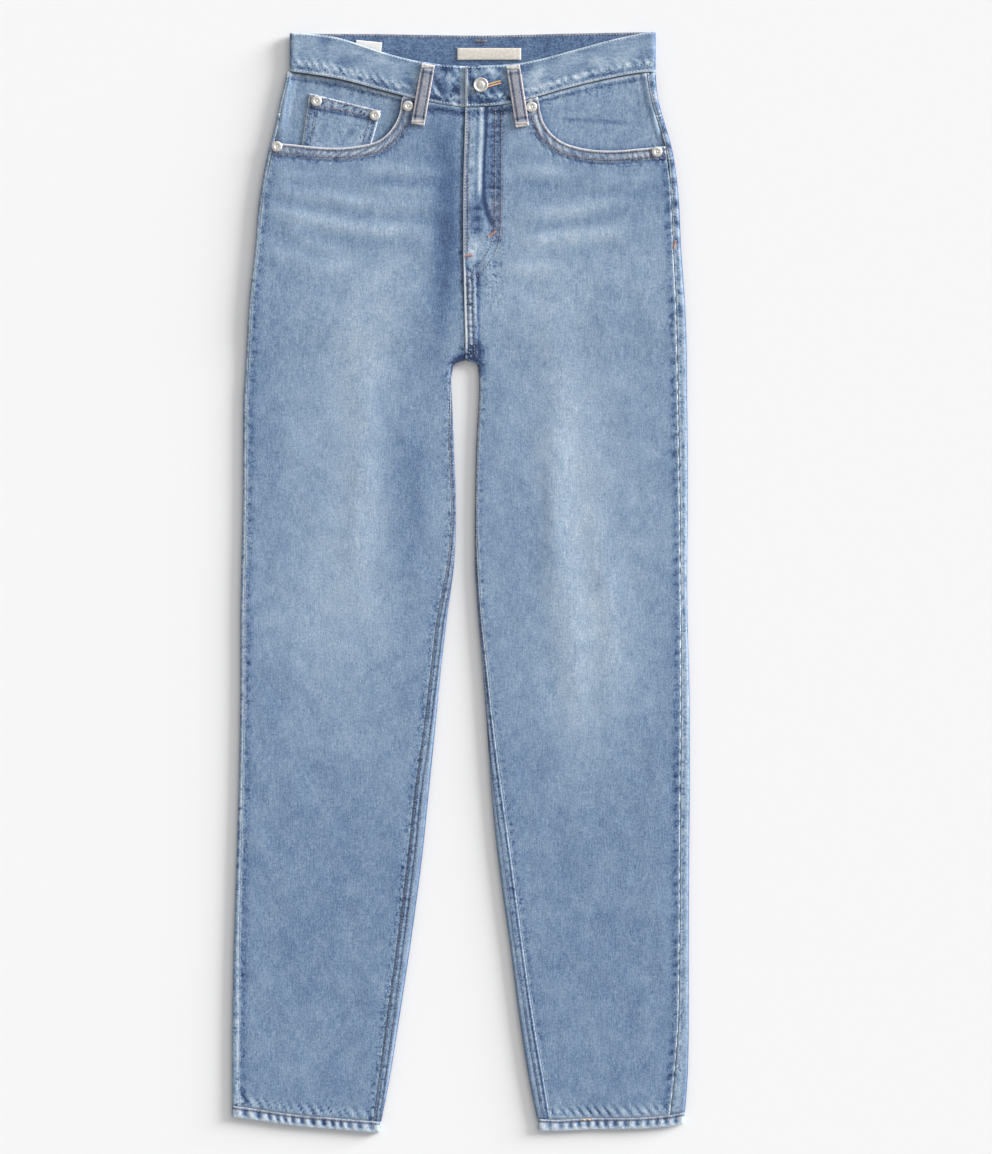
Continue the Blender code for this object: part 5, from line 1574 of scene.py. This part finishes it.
def thread_material(name, colour, dark):
    material = bpy.data.materials.new(name)
    material.use_nodes = True
    nodes, links = material.node_tree.nodes, material.node_tree.links
    shader = nodes["Principled BSDF"]
    shader.inputs["Roughness"].default_value = 0.8
    place = nodes.new("ShaderNodeTexCoord")
    speck = nodes.new("ShaderNodeTexNoise")
    speck.inputs["Scale"].default_value = 160.0
    speck.inputs["Detail"].default_value = 2.0
    ramp = nodes.new("ShaderNodeValToRGB")
    ramp.color_ramp.elements[0].position = 0.35
    ramp.color_ramp.elements[0].color = (*dark, 1.0)
    ramp.color_ramp.elements[1].position = 0.65
    ramp.color_ramp.elements[1].color = (*colour, 1.0)
    links.new(place.outputs["Object"], speck.inputs["Vector"])
    links.new(speck.outputs["Fac"], ramp.inputs["Fac"])
    links.new(ramp.outputs["Color"], shader.inputs["Base Color"])
    return material


FADED_THREAD = thread_material("faded_thread", (0.27, 0.25, 0.27), (0.10, 0.09, 0.12))
TAN_THREAD = thread_material("tan_thread", (0.40, 0.33, 0.27), (0.18, 0.15, 0.15))
RUST_THREAD = thread_material("rust_thread", (0.70, 0.42, 0.34), (0.45, 0.22, 0.18))
GOLD_THREAD = thread_material("gold_thread", (0.93, 0.58, 0.24), (0.74, 0.42, 0.15))
SKY_THREAD = thread_material("sky_thread", (0.60, 0.64, 0.68), (0.40, 0.46, 0.54))
PALE_THREAD = thread_material("pale_thread", (0.72, 0.66, 0.58), (0.50, 0.44, 0.38))


def stitch_matrix(a, b, width):
    a, b = Vector(a), Vector(b)
    along_axis = (b - a).normalized()
    side_axis = Vector((0, 0, 1)).cross(along_axis).normalized()
    if abs(along_axis.z) > 0.9:
        side_axis = along_axis.orthogonal()
    up_axis = along_axis.cross(side_axis)
    turn = Matrix((along_axis, side_axis, up_axis)).transposed().to_4x4()
    size = Matrix.Diagonal(((b - a).length / 2 * MM, width / 2 * MM, min(width, 0.6) / 2 * MM, 1.0))
    return Matrix.Translation((a + b) / 2 * MM) @ turn @ size


def sew(bm, line, pitch=3.1, length=2.5, width=1.0):
    """Stitches along a line of (x, y, z)."""
    total = sum(math.dist(a, b) for a, b in zip(line, line[1:]))
    count = max(int(total / pitch), 1)
    for k in range(count):
        a = along(line, (k + 0.5 - length / pitch / 2) / count)
        b = along(line, (k + 0.5 + length / pitch / 2) / count)
        bmesh.ops.create_icosphere(bm, subdivisions=1, radius=1.0, matrix=stitch_matrix(a, b, width))
    return count


def tack(bm, a, b, width, count, thick=0.6):
    """A bar tack: short threads side by side across the line from a to b."""
    a, b = Vector(a), Vector(b)
    step = (b - a) / max(count - 1, 1)
    across = Vector((-(b - a).y, (b - a).x, 0.0)).normalized() * width / 2
    for k in range(count):
        middle = a + step * k
        bmesh.ops.create_icosphere(bm, subdivisions=1, radius=1.0,
                                   matrix=stitch_matrix(middle - across, middle + across, thick))


def thread_piece(name, bm, material):
    bmesh.ops.recalc_face_normals(bm, faces=bm.faces)
    piece = finish_mesh(name, bm, material)
    print(name, "faces", len(piece.data.polygons))
    return piece


def on_front(side, points, step=6.0, rise=0.12):
    """Lay a drawn line on a front panel."""
    line = []
    total = sum(math.dist(a, b) for a, b in zip(points, points[1:]))
    count = max(round(total / step), 1)
    for k in range(count + 1):
        x, y = along(points, k / count)
        if y > 225.0:
            line.append((x, y, front_top(side, x, y) + rise))
        else:
            line.append((x, y, Row(side, y).top(x) + front_face(side, x, y)[0] + rise))
    return line


def offset_line(points, distance):
    moved = []
    for k, (x, y) in enumerate(points):
        a, b = points[max(k - 1, 0)], points[min(k + 1, len(points) - 1)]
        length = math.dist(a, b)
        moved.append((x + (b[1] - a[1]) / length * distance, y - (b[0] - a[0]) / length * distance))
    return moved


# %% [markdown]
# Now the rows of stitching, in the order a machinist sews them: pocket mouths, fly, centre
# front, inseams and outseams, waistband and hems, and on the back the yoke, the centre
# seam, the patch pockets and the loops.

# %% Stitching on the front
# the two curved rows of the fly, from the waistband down: across, height
FLY_CURVES = (
    (
        (40.4, 474.0), (40.2, 400.0), (39.6, 350.0), (38.0, 340.0),
        (33.0, 327.5), (25.0, 314.5), (15.0, 305.5),
    ),
    (
        (34.2, 474.0), (34.0, 400.0), (33.6, 352.0), (32.0, 343.0),
        (28.0, 332.0), (20.5, 320.0), (12.0, 312.0),
    ),
)
for side in (RIGHT, LEFT):
    toward = sign(side)
    bm = bmesh.new()
    for inset in (2.2, 9.4):
        line = offset_line(SOFT_MOUTH[side], -toward * inset)
        line = [point for point in line if (edge(side, OUTSEAM, point[1]) - point[0]) * toward > 2.0]
        line = [point for point in line if read(FRONT_BAND, BAND_SEAM, point[0]) - point[1] > 1.0]
        sew(bm, on_front(side, line), width=1.5)
    thread_piece("mouth_stitches_" + side, bm, FADED_THREAD)

bm = bmesh.new()
fly_edge = [(edge(LEFT, INSEAM, y) + 1.7, y) for y in range(474, 326, -6)]
sew(bm, on_front(LEFT, fly_edge))
sew(bm, on_front(LEFT, [(x + 3.4, y) for x, y in fly_edge[3:]]))
for points in FLY_CURVES:
    sew(bm, on_front(LEFT, soften(points)), width=1.3)
for inset in (4.0, 9.0):
    sew(bm, on_front(LEFT, [(edge(LEFT, INSEAM, y) + inset, y) for y in range(312, 226, -6)]))
thread_piece("fly_stitches", bm, FADED_THREAD)

bm = bmesh.new()
far_side = [(edge(LEFT, OUTSEAM, y) + 2.6, y) for y in range(506, 340, -8)]
sew(bm, [(x, y, lift(y) + loft(y) + 0.12) for x, y in far_side])
for side in (RIGHT, LEFT):
    toward = sign(side)
    for inset in (2.0, 7.6):
        line = []
        for height in range(206, -538, -8):
            row = Row(side, float(height))
            room = abs(row.inseam - row.inner)
            x = row.inseam - toward * min(inset, room * (0.25 if inset < 3 else 0.75))
            line.append((x, row.y(x), row.top(x) + 0.12))
        sew(bm, line)
thread_piece("seam_stitches", bm, FADED_THREAD)

bm = bmesh.new()
for side in (RIGHT, LEFT):
    row = Row(side, hem_level(side) + 9.3)
    for under in (False, True):
        line = []
        for k in range(41):
            x = row.outer + (row.inner - row.outer) * (0.02 + 0.96 * k / 40)
            z = row.top(x) + 0.2
            if under:
                z = max(row.loft - row.top(x) + 0.12, 0.32)
            line.append((x, hem_edge(side, x) + 9.4, z))
        sew(bm, line)
thread_piece("hem_stitches", bm, FADED_THREAD)

# %% Stitching on the waistband, the coin pocket and the loops
bm = bmesh.new()
for share in (0.045, 0.955):
    for side, start, stop in ((LEFT, LAP_EDGE + 2.0, 190.0), (RIGHT, -168.0, LAP_EDGE - 1.0)):
        line = []
        for k in range(61):
            x = start + (stop - start) * k / 60
            low, top = read(FRONT_BAND, BAND_SEAM, x), read(FRONT_BAND, BAND_TOP, x)
            line.append((x, low + (top - low) * share, LIFT + band_level(side, x) + BAND / 2 + 0.1))
        sew(bm, line)
    line = []
    for k in range(61):
        x = 188.0 - 355.0 * k / 60
        low, top = read(BACK_BAND, BAND_SEAM, x), read(BACK_BAND, BAND_TOP, x)
        line.append((x, low + (top - low) * share, LIFT - 0.08))
    sew(bm, line)
    sew(bm, [(x, y, LIFT + BAND + 0.1) for x, y, z in line])
lap_foot, lap_top = read(FRONT_BAND, BAND_SEAM, LAP_EDGE), LIFT + band_level(LEFT, 6.0) + BAND / 2 + 0.1
sew(bm, [(LAP_EDGE + 2.0, lap_foot + 38.0 * k / 8, lap_top) for k in range(9)])
thread_piece("band_stitches", bm, SKY_THREAD)

bm = bmesh.new()
rim = []
for k in range(91):
    x = 190.0 - 362.0 * k / 90
    rim.append((x, read(BACK_BAND, BAND_TOP, x) - 1.1, LIFT + BAND + 0.15))
sew(bm, rim, pitch=2.6, length=2.5, width=1.5)
tack(bm, (15.0, 541.9, LIFT + BAND + 0.6), (25.2, 541.9, LIFT + BAND + 0.6), 3.4, 12)
thread_piece("band_edge_stitches", bm, TAN_THREAD)



def on_coin(u, v):
    x, y = coin_point(u, v)
    rise = 0.45 if v * COIN_HEIGHT < 12.0 else 0.1
    return x, y, facing_top(RIGHT, x, y) + GAP + DENIM + rise


bm = bmesh.new()
for v in (0.035, 0.17):
    sew(bm, [on_coin(u / 10, v) for u in range(11)])
for u in (0.03, 0.12, 0.88, 0.97):
    sew(bm, [on_coin(u, 0.03 + 0.85 * v / 10) for v in range(11)])
thread_piece("coin_pocket_stitches", bm, FADED_THREAD)

bm = bmesh.new()
for side in (RIGHT, LEFT):
    rows = front_loop_rows(side)
    for column in (4, 20):
        sew(bm, [Vector(row[column][:3]) + Vector((0, 0, 0.1)) for row in rows[5:-5:3]], length=2.3)
for node, middle in BACK_LOOPS:
    rows = back_loop_rows(middle)
    for column in (4, 16):
        sew(bm, [Vector(row[column][:3]) - Vector((0, 0, 0.1)) for row in rows[3:-3:3]], length=2.3)
thread_piece("loop_stitches", bm, FADED_THREAD)

# %% [markdown]
# Bar tacks hold the ends of the loops and the corners that pull. The ones at the fly and
# on the hip are rust coloured, those of the loops are pale. The buttonhole is a straight
# slit edged with gold thread: short threads stand out from both sides of it like rays.

# %% Tacks and buttonhole
# rust coloured bar tacks on the wearer's left: from across, height, to across, height
RUST_TACKS = ((27.0, 345.6, 34.6, 351.0), (4.2, 326.5, 11.6, 327.0), (213.0, 334.0, 214.6, 342.0))
bm = bmesh.new()
for side in (RIGHT, LEFT):
    (x0, y0), (x1, y1) = FRONT_LOOPS[side]
    for share in (0.05, 0.95):
        mx, my = x0 + (x1 - x0) * share, y0 + (y1 - y0) * share
        level = front_loop_level(side, share) + 1.5 + 0.4
        tack(bm, (mx - 5.6, my, level), (mx + 5.6, my, level), 2.6, 16, 0.7)
thread_piece("loop_tacks", bm, PALE_THREAD)

bm = bmesh.new()
for x0, y0, x1, y1 in RUST_TACKS:
    ends = [(x, y, front_top(LEFT, x, y) + 0.35) for x, y in ((x0, y0), (x1, y1))]
    tack(bm, *ends, 3.0, 11, 0.7)
thread_piece("rust_tacks", bm, RUST_THREAD)

bm = bmesh.new()
hole_a, hole_b = Vector((20.0, 494.4, 0.0)), Vector((39.5, 500.2, 0.0))
hole_dir = (hole_b - hole_a).normalized()
hole_out = Vector((-hole_dir.y, hole_dir.x, 0.0))
for k in range(30):
    middle = hole_a.lerp(hole_b, k / 29)
    z = LIFT + band_level(LEFT, middle.x) + BAND / 2 + 0.4
    for way in (-1.0, 1.0):
        near, far = middle + hole_out * 0.35 * way, middle + hole_out * 2.0 * way
        near.z = far.z = z
        bmesh.ops.create_icosphere(bm, subdivisions=1, radius=1.0, matrix=stitch_matrix(near, far, 0.85))
odd = [(x, hem_edge(LEFT, x) + 10.0, LOFT[0] + 0.45) for x in (120.5, 130.5)]
sew(bm, odd, pitch=5.0, length=4.4, width=1.5)
thread_piece("buttonhole_thread", bm, GOLD_THREAD)

# %% Stitching on the back
bm = bmesh.new()
for side in (RIGHT, LEFT):
    toward = sign(side)
    for drop in (2.0, 8.0):
        line = []
        for k in range(41):
            x = seam_x(440.0) + (edge(side, OUTER, 470.0) - toward * 4.0 - seam_x(440.0)) * k / 40
            line.append((x, yoke_line(side, x) - drop, LIFT - 0.08))
        sew(bm, line)
for inset in (2.0, 8.0):
    sew(bm, [(seam_x(y) + inset, y, max(lift(y) - 0.05, 0.3)) for y in range(434, 226, -6)])
for side in (RIGHT, LEFT):
    for inset in (0.035, 0.12):
        edge_line = [pocket_point(side, -1.0 + inset, v / 10 * POCKET_SIDE + 0.005) for v in range(11)]
        foot = [pocket_point(side, -1.0 + inset + (1.0 - inset) * k / 6, 1.0) for k in range(1, 7)]
        mirrored = [pocket_point(side, (1.0 - inset) * k / 6, 1.0) for k in range(1, 7)]
        far = [pocket_point(side, 1.0 - inset, v / 10 * POCKET_SIDE + 0.005) for v in range(10, -1, -1)]
        lift_in = inset * 62.0
        outline = edge_line + [(x, y + lift_in) for x, y in foot + mirrored] + far
        sew(bm, [(x, y, UNDER_THREAD) for x, y in outline])
    for v in (0.015, 0.12):
        sew(bm, [(*pocket_point(side, u / 10 * 0.95, v), UNDER_THREAD) for u in range(-10, 11)])
thread_piece("back_stitches", bm, FADED_THREAD)

# %% [markdown]
# The light is a strong soft sun low on the right, a weaker soft sun higher up and a pale
# room, so shadows fall to the lower left and stay soft. The camera looks straight down with
# a long lens, from a point over the middle of the picture.

# %% Floor, light and camera


def floor():
    bm = bmesh.new()
    bmesh.ops.create_grid(bm, x_segments=1, y_segments=1, size=4.0)
    mesh = bpy.data.meshes.new("table")
    bm.to_mesh(mesh)
    bm.free()
    material = bpy.data.materials.new("pale_table")
    material.use_nodes = True
    shader = material.node_tree.nodes["Principled BSDF"]
    shader.inputs["Base Color"].default_value = (0.90, 0.90, 0.905, 1.0)
    shader.inputs["Roughness"].default_value = 0.9
    shader.inputs["Specular IOR Level"].default_value = 0.1
    table = bpy.data.objects.new("table", mesh)
    table.data.materials.append(material)
    table.location.z = -0.0002
    bpy.context.scene.collection.objects.link(table)


def sun(name, azimuth, elevation, softness, strength):
    """A far light, turned so many degrees round from +X and above the table."""
    data = bpy.data.lights.new(name, "SUN")
    data.angle = math.radians(softness)
    data.energy = strength
    lamp = bpy.data.objects.new(name, data)
    a, e = math.radians(azimuth), math.radians(elevation)
    toward = Vector((math.cos(a) * math.cos(e), math.sin(a) * math.cos(e), math.sin(e)))
    lamp.rotation_euler = toward.to_track_quat("Z", "Y").to_euler()
    bpy.context.scene.collection.objects.link(lamp)


floor()
sun("window", 25.0, 12.5, 25.0, 6.3)
sun("skylight", 50.0, 34.0, 40.0, 0.69)
world = bpy.data.worlds.new("room")
world.use_nodes = True
world.node_tree.nodes["Background"].inputs["Color"].default_value = (1.0, 1.0, 1.0, 1.0)
world.node_tree.nodes["Background"].inputs["Strength"].default_value = 0.48
bpy.context.scene.world = world
bpy.context.scene.view_settings.view_transform = "Standard"
bpy.context.scene.view_settings.look = "None"

PHOTO_MIDDLE = (0.035, 0.0055)
PHOTO_HEIGHT = 1.154
LENS = 100.0
SENSOR = 36.0
camera_data = bpy.data.cameras.new("camera")
camera_data.lens = LENS
camera_data.sensor_fit = "VERTICAL"
camera_data.sensor_height = SENSOR
camera_data.sensor_width = SENSOR
camera = bpy.data.objects.new("camera", camera_data)
camera.location = (*PHOTO_MIDDLE, PHOTO_HEIGHT * LENS / SENSOR + 0.007)
bpy.context.scene.collection.objects.link(camera)
bpy.context.scene.camera = camera
print("camera height:", round(camera.location.z, 3), "m")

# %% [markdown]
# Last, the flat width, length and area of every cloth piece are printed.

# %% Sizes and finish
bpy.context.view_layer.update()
for name, size in flat_sizes.items():
    print("flat", name, size)
